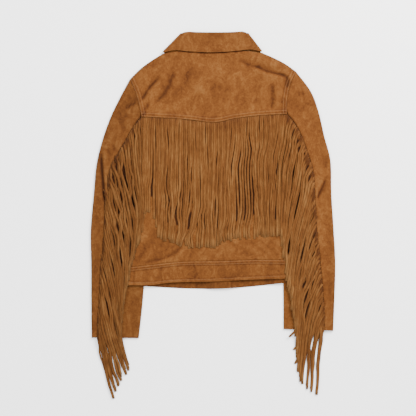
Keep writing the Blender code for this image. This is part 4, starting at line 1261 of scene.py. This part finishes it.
def back_band_panel():
    """The back of the waistband, stitched twice along its seam and once above its hem."""
    plan = patch(lambda u: through(BACK_HEM, u), lambda u: through(WAIST_SEAM, u),
                 lambda v: waist_side("left", BACK_HEM, v),
                 lambda v: waist_side("right", BACK_HEM, v))
    across = rolled(stations(365, 2.6), start=ROLL_STATIONS, end=ROLL_STATIONS)
    down = rolled(stations(46, 1.6, fine_start=True, fine_end=True))
    panel = Panel(*laid(plan, back_height, front_height, True, across, down,
                        lambda v, at: np.ones(v.shape)))
    edges = np.minimum(panel.start_u, panel.end_u)
    panel.crease(smoothstep((edges - 3.0) / 10.0))
    panel.raise_edge(panel.end_v, height=1.2, width=7.5, ramp=3.0)
    panel.raise_edge(panel.start_v, height=1.0, width=6.5, ramp=3.0)
    panel.sew(SEWN_ROWS["waistband_suede_back"])
    panel.press(panel.end_v, depth=0.9, width=0.9)
    for end, at in BAND_END_SEAMS.items():
        panel.press(getattr(panel, end) - at, depth=0.5, width=1.1)
    return panel


def front_panel(side):
    """A front, plain and flat beneath, from the shoulder to the waistband seam."""
    bottom = cut_at_opening(WAIST_SEAM, side)
    shoulder = SHOULDER[side] if side == "left" else tuple(reversed(SHOULDER[side]))

    def top(u):
        u = np.asarray(u, dtype=float)
        on_shoulder = (u <= NECK_SHARE)[..., None]
        return np.where(on_shoulder, through(shoulder, u / NECK_SHARE),
                        front_neck(side, (u - NECK_SHARE) / (1 - NECK_SHARE)))

    plan = patch(bottom, top, lambda v: front_side(side, v), opening_edge(bottom, top))
    height = inner_front_height if side == "left" else outer_front_height
    across = rolled(stations(190, 4.0), start=ROLL_STATIONS)
    down = rolled(stations(440, 4.5), end=ROLL_STATIONS)

    def shoulder_roll(u, at):
        return smoothstep((NECK_SHARE - u) / 0.03) * (at == 1.0)

    def side_roll(v, at):
        return smoothstep((FRONT_UNDERARM - v) / 0.02 + 1.0) * (at == 0.0)

    return Panel(*laid(plan, height, back_height, False, across, down, side_roll,
                       shoulder_roll))


def front_band_panel(side):
    """A front's half of the waistband."""
    bottom = cut_at_opening(FRONT_HEM, side)
    top = cut_at_opening(WAIST_SEAM, side)
    plan = patch(bottom, top, lambda v: waist_side(side, FRONT_HEM, v),
                 opening_edge(bottom, top))
    height = inner_front_height if side == "left" else outer_front_height
    across = rolled(stations(200, 4.0), start=ROLL_STATIONS)
    down = rolled(stations(55, 3.0, fine_start=True))
    panel = Panel(*laid(plan, height, back_height, False, across, down,
                        lambda v, at: (at == 0.0) * 1.0))
    panel.tone -= 0.5
    return panel


class JACKET_OT_body(bpy.types.Operator):
    """Lays the fronts, the back, the yoke and the waistband."""

    bl_idname = "jacket.body"
    bl_label = "Body panels"

    def execute(self, context):
        body = suede_finish("suede_back", 1.0, 0.1)
        yoke = suede_finish("suede_yoke", 1.02, 0.9)
        band = suede_finish("suede_waistband", 1.0, 1.5)
        front = suede_finish("suede_fronts", 0.95, 0.0)
        under = {}
        for side in ("left", "right"):
            panel = front_panel(side)
            under[side] = cloth("front_suede_" + side, panel, front)
            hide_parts("front_" + side)
            declare(panel)
            panel = front_band_panel(side)
            piece = cloth("waistband_suede_front_" + side, panel, front)
            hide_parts("waistband_front_" + side)
            declare(panel)
            under[side + "_band"] = piece
        for name, panel, material, node, below in (
                ("back_suede", back_panel(), body, "back_panel", ("left", "right")),
                ("yoke_suede", yoke_panel(), yoke, "yoke_back", ("left", "right")),
                ("waistband_suede_back", back_band_panel(), band, "waistband_back",
                 ("left_band", "right_band"))):
            piece = cloth(name, panel, material)
            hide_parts(node)
            BUILT[name] = (piece, panel, [under[key].name for key in below])
        return {"FINISHED"}


# ================================================================ sleeves
HIDDEN_SEAM_SHIFT = 0.3  # how far the seam beneath lies towards the inner fold, as a share
FOLD_ROOM = {"upper": 0.1, "under": 0.6}     # room at the armhole's end of each fold
BULGE_FADE = 0.05        # over which share of the sleeve the armhole's curve dies out
SPAN = {"upper": 30.0, "under": 90.0}        # about how wide each piece lies, and its steps
SPAN_STEP = {"upper": 2.2, "under": 4.0}
TOP, FOLD, BENEATH = 0, 1, 2                 # parts of a sleeve piece, from its seam on top


def sleeve_plan(side, part, beneath):
    """Patch of a sleeve piece: u from the fringe seam (or the hidden one) to its folded edge."""
    armhole = ARMHOLE_UPPER[side] if part == "upper" else tuple(reversed(ARMHOLE_LOWER[side]))

    def plan(u, v):
        row = through(SLEEVE[side], v)
        outer, seam, inner = row[..., 0:2], row[..., 2:4], row[..., 4:6]
        if beneath:
            seam = seam + (inner - seam) * HIDDEN_SEAM_SHIFT * smoothstep(v / 0.4)[..., None]
        edge = outer if part == "upper" else inner
        a = u[..., None]
        bulge = through(armhole, u) - (1 - a) * armhole[0] - a * armhole[-1]
        fade = np.maximum(1.0 - v / BULGE_FADE, 0.0)[..., None]
        return seam + (edge - seam) * a + bulge * fade

    return plan


def tube_stations(part):
    """Round a sleeve piece: which part each place is in, its share of the width, its turn."""
    flat = stations(SPAN[part], SPAN_STEP[part])[:-1]
    angles = np.linspace(0.0, np.pi, 11)
    kinds = np.repeat((TOP, FOLD, BENEATH), (len(flat), len(angles), len(flat)))
    shares = np.concatenate([flat, np.ones(len(angles)), flat[::-1]])
    turns = np.concatenate([np.zeros(len(flat)), angles, np.full(len(flat), np.pi)])
    return kinds, shares, turns


def sleeve_panel(side, part):
    """One sleeve piece: flat on top, round its folded edge, and flat beneath."""
    top_plan = sleeve_plan(side, part, False)
    low_plan = sleeve_plan(side, part, True)
    away = -1.0 if side == "left" else 1.0
    kinds, shares, turns = tube_stations(part)
    kind, v = np.meshgrid(kinds, stations(575, 3.4, fine_start=True, fine_end=True),
                          indexing="ij")
    u = np.broadcast_to(shares[:, None], v.shape)
    turn = np.broadcast_to(turns[:, None], v.shape)
    beneath = (kind == BENEATH)[..., None]
    roll = kind == FOLD
    points = np.where(beneath, low_plan(u, v), top_plan(u, v))
    into_v = np.where(beneath, inward(low_plan, u, v, "v"), inward(top_plan, u, v, "v"))
    armhole = v == 0.0
    push = np.sign(into_v[..., 0] * away) * (SEAM_GAP / 2 + FOLD_ROOM[part] * u**2) * armhole
    points = points + into_v * push[..., None]
    from_seam = inward(top_plan, u, v, "u")
    into = from_seam * np.sign(from_seam[..., :1] * away) * (-1.0 if part == "upper" else 1.0)
    if part == "upper":
        along = unit(top_plan(u * 0.97, v) - top_plan(u, v))
        into = np.where((armhole & roll)[..., None], along, into)
    probe = points + into * 2 * WALL
    radius = (sleeve_height(side, probe[..., 0], probe[..., 1]) - FLOOR_Z) / 2
    points = points + into * (radius * (1.0 - np.sin(turn)) * roll)[..., None]
    points = points + from_seam * (SEAM_GAP / 2 * ((u == 0.0) & ~roll))[..., None]
    top = sleeve_height(side, points[..., 0], points[..., 1])
    z = np.where(kind == TOP, top, FLOOR_Z + radius * (1.0 + np.cos(turn)) * roll)
    panel = Panel(points, z)
    finish_sleeve_top(panel, side, kind == TOP, (1.0 - u) * SPAN[part])
    return panel


def finish_sleeve_top(panel, side, on_top, from_fold):
    """Creases the top of a sleeve piece, sinks its seams with painted shade in them, and paints shadow
    beneath the fringe.
    """
    fade = smoothstep(panel.start_v / 8.0) * on_top * smoothstep(from_fold / 9.0)
    panel.crease(fade * (1.0 - 0.8 * pressed_by_body(side, panel.x, panel.y)))
    panel.z -= 0.6 * ridge(panel.start_u, 1.2) * on_top
    panel.z -= 0.5 * ridge(panel.start_v, 1.5) * on_top
    # painted shade in the sunk seams, and painted near-black shadow beneath the fringe
    panel.tone -= 0.2 * ridge(panel.start_v, 3.0) * on_top
    panel.tone -= 1.0 * ridge(panel.start_u, 1.6) * on_top
    panel.tone -= 2.8 * covered(panel.x, panel.y) * on_top


class JACKET_OT_sleeves(bpy.types.Operator):
    """Folds each sleeve's two pieces into a flat tube."""

    bl_idname = "jacket.sleeves"
    bl_label = "Sleeves"

    def execute(self, context):
        # painted shade and light: the left sleeve's suede is darker and the right one's lighter, as if lit
        # from the right
        for side, depth in (("left", 0.83), ("right", 1.02)):
            material = suede_finish("suede_sleeve_" + side, depth, 0.2)
            for part in ("upper", "under"):
                panel = sleeve_panel(side, part)
                name = "sleeve_suede_%s_%s" % (side, part)
                piece = cloth(name, panel, material)
                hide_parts("sleeve_%s_%s" % (side, part))
                BUILT[name] = (piece, panel, [])
        return {"FINISHED"}


# ================================================================ collar
Corner = namedtuple("Corner", "x y radius normal_x normal_y")
COLLAR_CORNERS = (      # centre of each rounded corner of the fold, and its slope's direction out
    Corner(-60, 409, 12.0, -0.715, 0.699),
    Corner(71.3, 409.5, 12.0, 0.791, 0.611),
)


EDGE_LIFT = 1.4          # how far the fall's edge stands off the yoke


def rounded(points, corner):
    """Draws the places beyond a corner's radius in to it."""
    x, y = points[..., 0] - corner.x, points[..., 1] - corner.y
    distance = np.maximum(np.hypot(x, y), 1e-6)
    outward = np.sign(corner.normal_x)
    past_slope = outward * (x * corner.normal_y - y * corner.normal_x) < 0.0
    near = past_slope & (x * outward > 0.0) & (y > 0.0) & (distance < 2.0 * corner.radius)
    drawn = corner.radius + 0.1 * (distance - corner.radius)
    share = np.where(near & (distance > corner.radius), drawn / distance, 1.0)
    return np.stack([corner.x + x * share, corner.y + y * share], axis=-1)


def collar_panel():
    """Stand and fall in one, folded over at its top and wrapped from front to front."""
    rows = np.array(COLLAR, dtype=float)
    t = np.linspace(0.0, 1.0, 181)
    row = through(rows, t)
    turns = [section.turn for section in COLLAR]
    turn = np.radians(np.interp(t, np.linspace(0, 1, len(rows)), turns))
    stand = np.linspace(0.0, 0.97, 9)
    angles = np.radians(np.linspace(0.0, 180.0, 9))[1:-1]
    fall = np.concatenate([np.linspace(0.03, 0.8, 15), np.linspace(0.82, 1.0, 10)])
    neck, top, edge = row[:, None, 0:2], row[:, None, 2:4], row[:, None, 4:6]
    rise = unit(top - neck)
    hand = np.where(row[:, None, 0:1] < 0, 1.0, -1.0)
    out = np.concatenate([-rise[..., 1:2], rise[..., 0:1]], axis=-1) * hand
    lap = 2 * COLLAR_FOLD_RADIUS
    s, a, f = stand[None, :, None], angles[None, :, None], fall[None, :, None]
    plan = np.concatenate([
        neck + (top - neck) * s + rise * SEAM_GAP * (1.0 - s),
        top + rise * COLLAR_FOLD_RADIUS * np.sin(a),
        top + (edge - top) * f], axis=1)
    laps = np.concatenate([np.zeros(len(stand)), COLLAR_FOLD_RADIUS * (1.0 - np.cos(angles)),
                           np.full(len(fall), lap)])
    radius = STAND_RADIUS + laps[None, :]
    sine = np.sin(turn)[:, None]
    plan = plan + out * (radius * sine)[..., None]
    z = STAND_Z + radius * np.cos(turn)[:, None]
    for corner in COLLAR_CORNERS:
        plan = rounded(plan, corner)
    panel = Panel(plan, z)
    on_top = smoothstep((np.cos(turn)[:, None] - 0.6) / 0.4) * (laps[None, :] >= lap)
    swell = 0.3 * lattice_noise(panel.x, panel.y, cell=18.0, seed=21)
    lift = EDGE_LIFT * smoothstep((20.0 - panel.end_v) / 20.0)
    puff = 0.5 * smoothstep(panel.end_v / 9.0) * smoothstep((panel.start_v - 50.0) / 9.0)
    panel.z += on_top * (swell + lift + puff)
    panel.tone += on_top * 0.8 * swell
    return panel


class JACKET_OT_collar(bpy.types.Operator):
    """Folds the collar over and wraps it round the neck."""

    bl_idname = "jacket.collar"
    bl_label = "Collar"

    def execute(self, context):
        panel = collar_panel()
        piece = cloth("collar_suede", panel, suede_finish("suede_collar", 0.95, 1.5))
        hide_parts("collar")
        BUILT["collar_suede"] = (piece, panel, ["yoke_suede"])
        return {"FINISHED"}


# ================================================================ fringe
STRIP_STATIONS = {"back": 20, "sleeve": 22}      # places along a strip
BACK_BUNCHES = (-170, -152, -134, -113, -90, -74, -50, -30, -14, 6, 18, 41, 56, 78, 92, 112, 124,
                147, 160, 180)         # where the back's strips part into bunches
LEVELS = np.array([0.1, 0.9, 0.0, 0.6, 0.3, 1.0, 0.4])  # heights of neighbouring strips, in turn
FINGERS = 25             # bunches that the strips of a sleeve gather into towards their tips
FINGER_PULL = (0.0, 0.15, 0.5, 0.82)         # how far they have gathered at each guide place
GUIDE_PLACES = (0.0, 0.11, 0.38, 0.72, 1.0)  # where a strip passes its root and guide places
BUNCH_PULL = 0.22        # how far the back's strips gather into theirs
BACK_FRINGE = (-160.5, 171.5)                # x of the back's first and last roots
SLEEVE_SEAM_ENDS = (5.0, 2.0)                # seam left bare at the shoulder and at the cuff
UNEVEN_TIPS = 2.4        # spread of the back's tips in height
UNEVEN_LENGTH = 0.022    # spread of a sleeve strip's length, as a share
BACK_LAY = 0.95          # from the suede's face up to the middle of the lowest strips
SLEEVE_LAY = 0.75
BACK_STEP = 0.7          # height between the lowest and highest strips
SLEEVE_STEP = 2.6
LOWEST_STRIP = 1.7       # middle of a strip that lies on the surface
BODY_EDGE = (8.0, 34.0)  # where strips come down off the body's edge, and over what width
CUFF_RAMP = 42.0         # over what length they come down past the cuff
SEEDS = {"left": {"hang": 71, "wander": 51}, "right": {"hang": 72, "wander": 61}}


def strip_levels(count, seed):
    """A height level for each strip, neighbours always apart."""
    levels = LEVELS[np.arange(count) % len(LEVELS)]
    return levels + np.random.default_rng(seed).uniform(-0.1, 0.1, count)


def back_strips():
    """Middle lines of the strips that hang from the yoke's seam, their stations and levels."""
    roots_x = np.arange(*BACK_FRINGE, bpy.context.scene.jacket_sizes.strip_pitch / MM)
    count = len(roots_x)
    lean = np.array(BACK_STRIPS, dtype=float)
    random = np.random.default_rng(5)
    roots_y = along_x(YOKE_SEAM, roots_x)[:, 1]
    middle, end, tips = (np.interp(roots_x, lean[:, 0], lean[:, k])[:, None] for k in (1, 2, 3))
    tips = tips + random.normal(0.0, UNEVEN_TIPS, count)[:, None]
    s = np.linspace(0.0, 1.0, STRIP_STATIONS["back"])[None, :]
    y = roots_y[:, None] + (tips - roots_y[:, None]) * s
    shift = middle * np.sin(np.pi * s / 2) * (1.0 - s) * 1.6 + end * s**1.4
    free = smoothstep(s / 0.25)
    loose = free * (0.35 + 0.65 * smoothstep((s - 0.35) / 0.5))
    clump = wander(y.shape, 45, 4.0, 1.0) * 4.0 * smoothstep((s - 0.4) / 0.6)
    x = roots_x[:, None] + shift + wander(y.shape, 41, 5.0) * 2.2 * loose + clump
    places = np.arange(len(BACK_BUNCHES))
    bunch = np.floor(np.interp(roots_x, BACK_BUNCHES, places))
    middles = np.interp(bunch + 0.5, places, BACK_BUNCHES)
    x = x + (middles - roots_x)[:, None] * BUNCH_PULL * smoothstep((s - 0.5) / 0.5)
    x = open_gaps(x, y, BACK_GAPS, strength=0.5, slant=0.8)
    level = strip_levels(count, 6)[:, None]
    z = back_height(x, y) + WALL / 2 + BACK_LAY + level * BACK_STEP * smoothstep(s / 0.06)
    z = z + 0.5 * wander(y.shape, 43, 4.0, 0.1) * free
    z = z - (level * BACK_STEP + 0.4) * smoothstep((s - 0.8) / 0.2)
    return np.stack([x, y, z], axis=-1), s, level


def hanging_lines(side, s, random):
    """Plan lines of a sleeve's strips as they hang, loose ones last, and how many are sewn."""
    dense = np.linspace(0, 1, 400)
    run = distance_along(through(SEWN_SEAM[side], dense))
    first, last = SLEEVE_SEAM_ENDS
    places = np.arange(first, run[-1] - last, bpy.context.scene.jacket_sizes.strip_pitch / MM)
    share = np.interp(places, run, dense)
    count = len(share)
    roots = through(SEWN_SEAM[side], share)[:, None]
    guides = through(SLEEVE_STRIPS[side], share).reshape(count, 4, 2)
    finger = (np.floor(share * FINGERS) + 0.5) / FINGERS
    gathered = through(SLEEVE_STRIPS[side], finger).reshape(count, 4, 2)
    drawn = np.array(FINGER_PULL)[None, :, None]
    controls = np.concatenate([roots, guides + (gathered - guides) * drawn], axis=1)
    t = np.interp(s[0], GUIDE_PLACES, np.linspace(0.0, 1.0, len(GUIDE_PLACES)))
    lines = np.stack([through(control, t) for control in controls])
    stretch = 1.0 + random.normal(0.0, UNEVEN_LENGTH, count)[:, None] * s
    lines[..., 1] = roots[..., 1] + (lines[..., 1] - roots[..., 1]) * stretch
    strays = [through(np.array(stray).reshape(3, 2), s[0]) for stray in STRAYS[side]]
    return np.concatenate([lines, np.stack(strays)]), count


def strip_heights(side, x, y, s, level):
    """Heights of a sleeve's strips: on the sleeve, off the body's edge and past the cuff."""
    line = side_x(side, y)
    outside = -inside_of(side, x, line)
    top = sleeve_height(side, x, y)
    body = back_height(np.where(outside > 0, line, x), y)
    beside = smoothstep((outside - BODY_EDGE[0]) / BODY_EDGE[1])
    lain_on = np.maximum(top, body + (top - body) * beside)
    rise = smoothstep(s / 0.1)
    settled = 1.0 - 0.65 * smoothstep((s - 0.45) / 0.4)
    over = lain_on + WALL / 2 + SLEEVE_LAY + level * SLEEVE_STEP * rise * settled
    fall = smoothstep((CUFF_Y[side] + 2.0 - y) / CUFF_RAMP)
    floor = 0.6 + level * 2.4
    return over + (floor - over) * fall


def sleeve_strips(side):
    """Middle lines of the strips that hang from a sleeve's seam, their stations and levels."""
    away = -1.0 if side == "left" else 1.0
    seeds = SEEDS[side]
    random = np.random.default_rng(seeds["hang"])
    s = np.linspace(0.0, 1.0, STRIP_STATIONS["sleeve"])[None, :]
    lines, sewn_in = hanging_lines(side, s, random)
    count = len(lines)
    free = smoothstep(s / 0.25)
    x, y = lines[..., 0], lines[..., 1]
    hung = smoothstep((CUFF_Y[side] + 30.0 - y) / 40.0)
    x = x + wander(x.shape, seeds["wander"], 4.0, 0.4) * (4.2 - 3.0 * hung) * free
    bulge = ridge(s / 0.09 - 1.0, 1.0) * random.uniform(-0.5, 1.0, count)[:, None]
    x = x - away * 2.0 * bulge
    x = open_gaps(x, y, SLEEVE_GAPS[side], strength=1.5, slant=0.0)
    level = strip_levels(count, 8)[:, None]
    level[sewn_in:] = 0.0
    z = strip_heights(side, x, y, s, level)
    z = z + 0.4 * wander(x.shape, seeds["wander"] + 3, 4.0) * free
    return np.stack([x, y, np.maximum(z, LOWEST_STRIP)], axis=-1), s, level


COVER_CELL = 3.0
COVER_X = np.arange(-330.0, 331.0, COVER_CELL)
COVER_Y = np.arange(-450.0, 451.0, COVER_CELL)
COVER = []               # once counted, how much of each cell of the plan lies beneath strips


def fringe_cover():
    """Marks the cells of the plan that lie well beneath strips."""
    places = []
    back = back_strips()[0][:, :-2]          # the strips' tips lift and show the back
    for lines in (back, sleeve_strips("left")[0], sleeve_strips("right")[0]):
        for share in np.linspace(0.0, 1.0, 6)[:-1]:
            places.append((lines[:, :-1, :2] * (1 - share) + lines[:, 1:, :2] * share))
    spots = np.concatenate([place.reshape(-1, 2) for place in places])
    taken = np.minimum(np.histogram2d(spots[:, 0], spots[:, 1], (COVER_X, COVER_Y))[0], 1.0)
    filled = smoothstep((sum(neighbours(taken)) / 25.0 - 0.3) / 0.1)
    return np.minimum.reduce(neighbours(filled))


def neighbours(cells):
    """The cells moved by up to two places each way, 25 of them."""
    return [np.roll(cells, (i, j), (0, 1)) for i in range(-2, 3) for j in range(-2, 3)]


def covered(x, y):
    """1 where the cloth lies beneath strips."""
    if not COVER:
        COVER.append(fringe_cover())
    cells = COVER[0]
    i = np.clip(((x - COVER_X[0]) / COVER_CELL).astype(int), 0, cells.shape[0] - 1)
    j = np.clip(((y - COVER_Y[0]) / COVER_CELL).astype(int), 0, cells.shape[1] - 1)
    return cells[i, j]


def fringe_mesh(name, lines, s, level, material, seed, tilt, root_shade):
    """The strips of one fringe, each a little wider, darker or more turned than the next, with painted shade
    on lower strips and roots and painted light at the tips.
    """
    count, length = lines.shape[:2]
    random = np.random.default_rng(seed)
    width = bpy.context.scene.jacket_sizes.strip_width / MM
    widths = width * (1.0 + random.normal(0.0, 0.06, count))
    widths = np.repeat(widths[:, None], length, axis=1)
    turn = tilt * wander((count, length), seed + 9, 6.0, 0.3) * smoothstep(s / 0.15)
    # random tone for each strip, and painted shade on the strips that lie lower
    tones_and_painted_shade = np.clip(random.normal(0.0, 0.08, count), -0.2, 0.2)[:, None] + 0.1 * (level - 0.5)
    tones_and_painted_shade = tones_and_painted_shade + 0.3 * wander((count, length), seed + 17, 2.0, 0.2)
    # painted light towards the tips, and painted shade at the roots of some strips
    shaded = np.where(random.random(count) < 0.35, root_shade, 0.15)[:, None]
    tones_and_painted_shade = tones_and_painted_shade + 0.5 * smoothstep((s - 0.88) / 0.12) - shaded * ridge(s, 0.06)
    return ribbons(name, lines, widths, strip_sides(lines, turn), material, tones_and_painted_shade)


class JACKET_OT_back_fringe(bpy.types.Operator):
    """Hangs the strips from the yoke's seam."""

    bl_idname = "jacket.back_fringe"
    bl_label = "Back fringe"

    def execute(self, context):
        piece = fringe_mesh("fringe_strips_back", *back_strips(),
                            fringe_finish("suede_strips_back", 1.0), seed=81, tilt=0.3,
                            root_shade=0.4)
        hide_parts("fringe_back")
        return {"FINISHED"}


class JACKET_OT_sleeve_fringes(bpy.types.Operator):
    """Hangs the strips from the sleeves' back seams."""

    bl_idname = "jacket.sleeve_fringes"
    bl_label = "Sleeve fringes"

    def execute(self, context):
        # painted shade: the left fringe's suede is darker than the right one's, as if lit from the right
        for side, seed, depth in (("left", 91, 0.87), ("right", 92, 1.0)):
            material = fringe_finish("suede_strips_sleeve_" + side, depth)
            piece = fringe_mesh("fringe_strips_sleeve_" + side, *sleeve_strips(side), material,
                                seed=seed, tilt=0.5, root_shade=1.4)
            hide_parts("fringe_sleeve_" + side)
        return {"FINISHED"}


# ================================================================ seams and buttons
class JACKET_OT_stitches(bpy.types.Operator):
    """Sews the rows of stitches."""

    bl_idname = "jacket.stitches"
    bl_label = "Stitches"

    def execute(self, context):
        thread = thread_finish()
        fringes = {
            "yoke_suede": ["fringe_strips_back"],
            "sleeve_suede_left_upper": ["fringe_strips_sleeve_left"],
            "sleeve_suede_right_upper": ["fringe_strips_sleeve_right"],
        }
        for name, (piece, panel, below) in BUILT.items():
            extra = list(fringes.get(name, []))
            if name in SEWN_ROWS:
                lines = [seam_row(panel, edge, at) for edge, places in SEWN_ROWS[name].items()
                         for at in places]
                sewn = stitch_mesh(name.replace("suede", "stitches"), lines, thread)
                extra.append(sewn.name)
            declare(panel)
        return {"FINISHED"}


class JACKET_OT_buttons(bpy.types.Operator):
    """Gives the frame's own buttons their finish."""

    bl_idname = "jacket.buttons"
    bl_label = "Buttons"

    def execute(self, context):
        horn = button_finish()
        for name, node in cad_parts.items():
            if name.startswith("button"):
                node.data.materials.clear()
                node.data.materials.append(horn)
        return {"FINISHED"}


# ================================================================ floor, light and camera
FLOOR_SIDE = 6.0
FLOOR_DROP = 0.0003      # keeps the floor clear of the lowest suede
CAMERA_HEIGHT = 4.0
VIEW_MIDDLE = (-0.0116, 0.01755)     # the middle of the view, on the surface
VIEW_WIDTH = 0.957
SENSOR = 36.0


def area_light(name, place, size, power, colour=(1.0, 1.0, 1.0)):
    """A soft square light that faces the jacket's middle."""
    light = bpy.data.lights.new(name, "AREA")
    light.size = size
    light.energy = power
    light.color = colour
    lamp = bpy.data.objects.new(name, light)
    lamp.location = place
    lamp.rotation_euler = (-Vector(place)).to_track_quat("-Z", "Y").to_euler()
    bpy.context.scene.collection.objects.link(lamp)


class JACKET_OT_stage(bpy.types.Operator):
    """Sets the pale floor, the soft light and the camera straight above."""

    bl_idname = "jacket.stage"
    bl_label = "Floor, light and camera"

    def execute(self, context):
        bm = bmesh.new()
        bmesh.ops.create_grid(bm, x_segments=1, y_segments=1, size=FLOOR_SIDE / 2)
        bmesh.ops.translate(bm, verts=bm.verts[:], vec=(0, 0, -FLOOR_DROP))
        mesh = mesh_from("floor", bm)
        floor = bpy.data.objects.new("floor", mesh)
        finish = Finish("floor")
        finish.shader.inputs["Base Color"].default_value = (
            *context.scene.jacket_colours.floor, 1.0)
        finish.shader.inputs["Roughness"].default_value = 0.9
        mesh.materials.append(finish.material)
        context.scene.collection.objects.link(floor)
        area_light("key", place=(1.3, 1.5, 1.7), size=1.2, power=170.0,
                   colour=(1.0, 0.98, 0.95))
        area_light("fill", place=(-1.2, 0.4, 2.0), size=2.2, power=45.0)
        world = bpy.data.worlds.new("studio")
        world.use_nodes = True
        sky = world.node_tree.nodes["Background"]
        sky.inputs["Color"].default_value = (0.97, 0.98, 1.0, 1.0)
        sky.inputs["Strength"].default_value = 1.9
        context.scene.world = world
        camera = bpy.data.objects.new("camera", bpy.data.cameras.new("camera"))
        camera.data.sensor_width = SENSOR
        camera.data.lens = SENSOR * CAMERA_HEIGHT / VIEW_WIDTH
        camera.data.clip_end = 50.0
        camera.location = (*VIEW_MIDDLE, CAMERA_HEIGHT)
        context.scene.collection.objects.link(camera)
        context.scene.camera = camera
        return {"FINISHED"}


class JACKET_PT_pieces(bpy.types.Panel):
    """Lists the jacket's sizes, colours and building steps."""

    bl_idname = "JACKET_PT_pieces"
    bl_label = "Fringed jacket"
    bl_space_type = "VIEW_3D"
    bl_region_type = "UI"
    bl_category = "Jacket"

    def draw(self, context):
        for group in (context.scene.jacket_sizes, context.scene.jacket_colours):
            for name in group.__annotations__:
                self.layout.prop(group, name)
        for operator in STEPS:
            self.layout.operator(operator.bl_idname)


STEPS = (JACKET_OT_body, JACKET_OT_sleeves, JACKET_OT_collar, JACKET_OT_back_fringe,
         JACKET_OT_sleeve_fringes, JACKET_OT_stitches, JACKET_OT_buttons, JACKET_OT_stage)
CLASSES = (JacketSizes, JacketColours) + STEPS + (JACKET_PT_pieces,)


def register():
    """Adds the jacket's classes and settings."""
    for kind in CLASSES:
        bpy.utils.register_class(kind)
    bpy.types.Scene.jacket_sizes = bpy.props.PointerProperty(type=JacketSizes)
    bpy.types.Scene.jacket_colours = bpy.props.PointerProperty(type=JacketColours)


def unregister():
    """Removes the jacket's settings and classes."""
    del bpy.types.Scene.jacket_colours
    del bpy.types.Scene.jacket_sizes
    for kind in reversed(CLASSES):
        bpy.utils.unregister_class(kind)


def main():
    """Builds the jacket and its stage."""
    register()
    for operator in STEPS:
        group, name = operator.bl_idname.split(".")
        getattr(getattr(bpy.ops, group), name)()


if __name__ == "__main__":
    main()
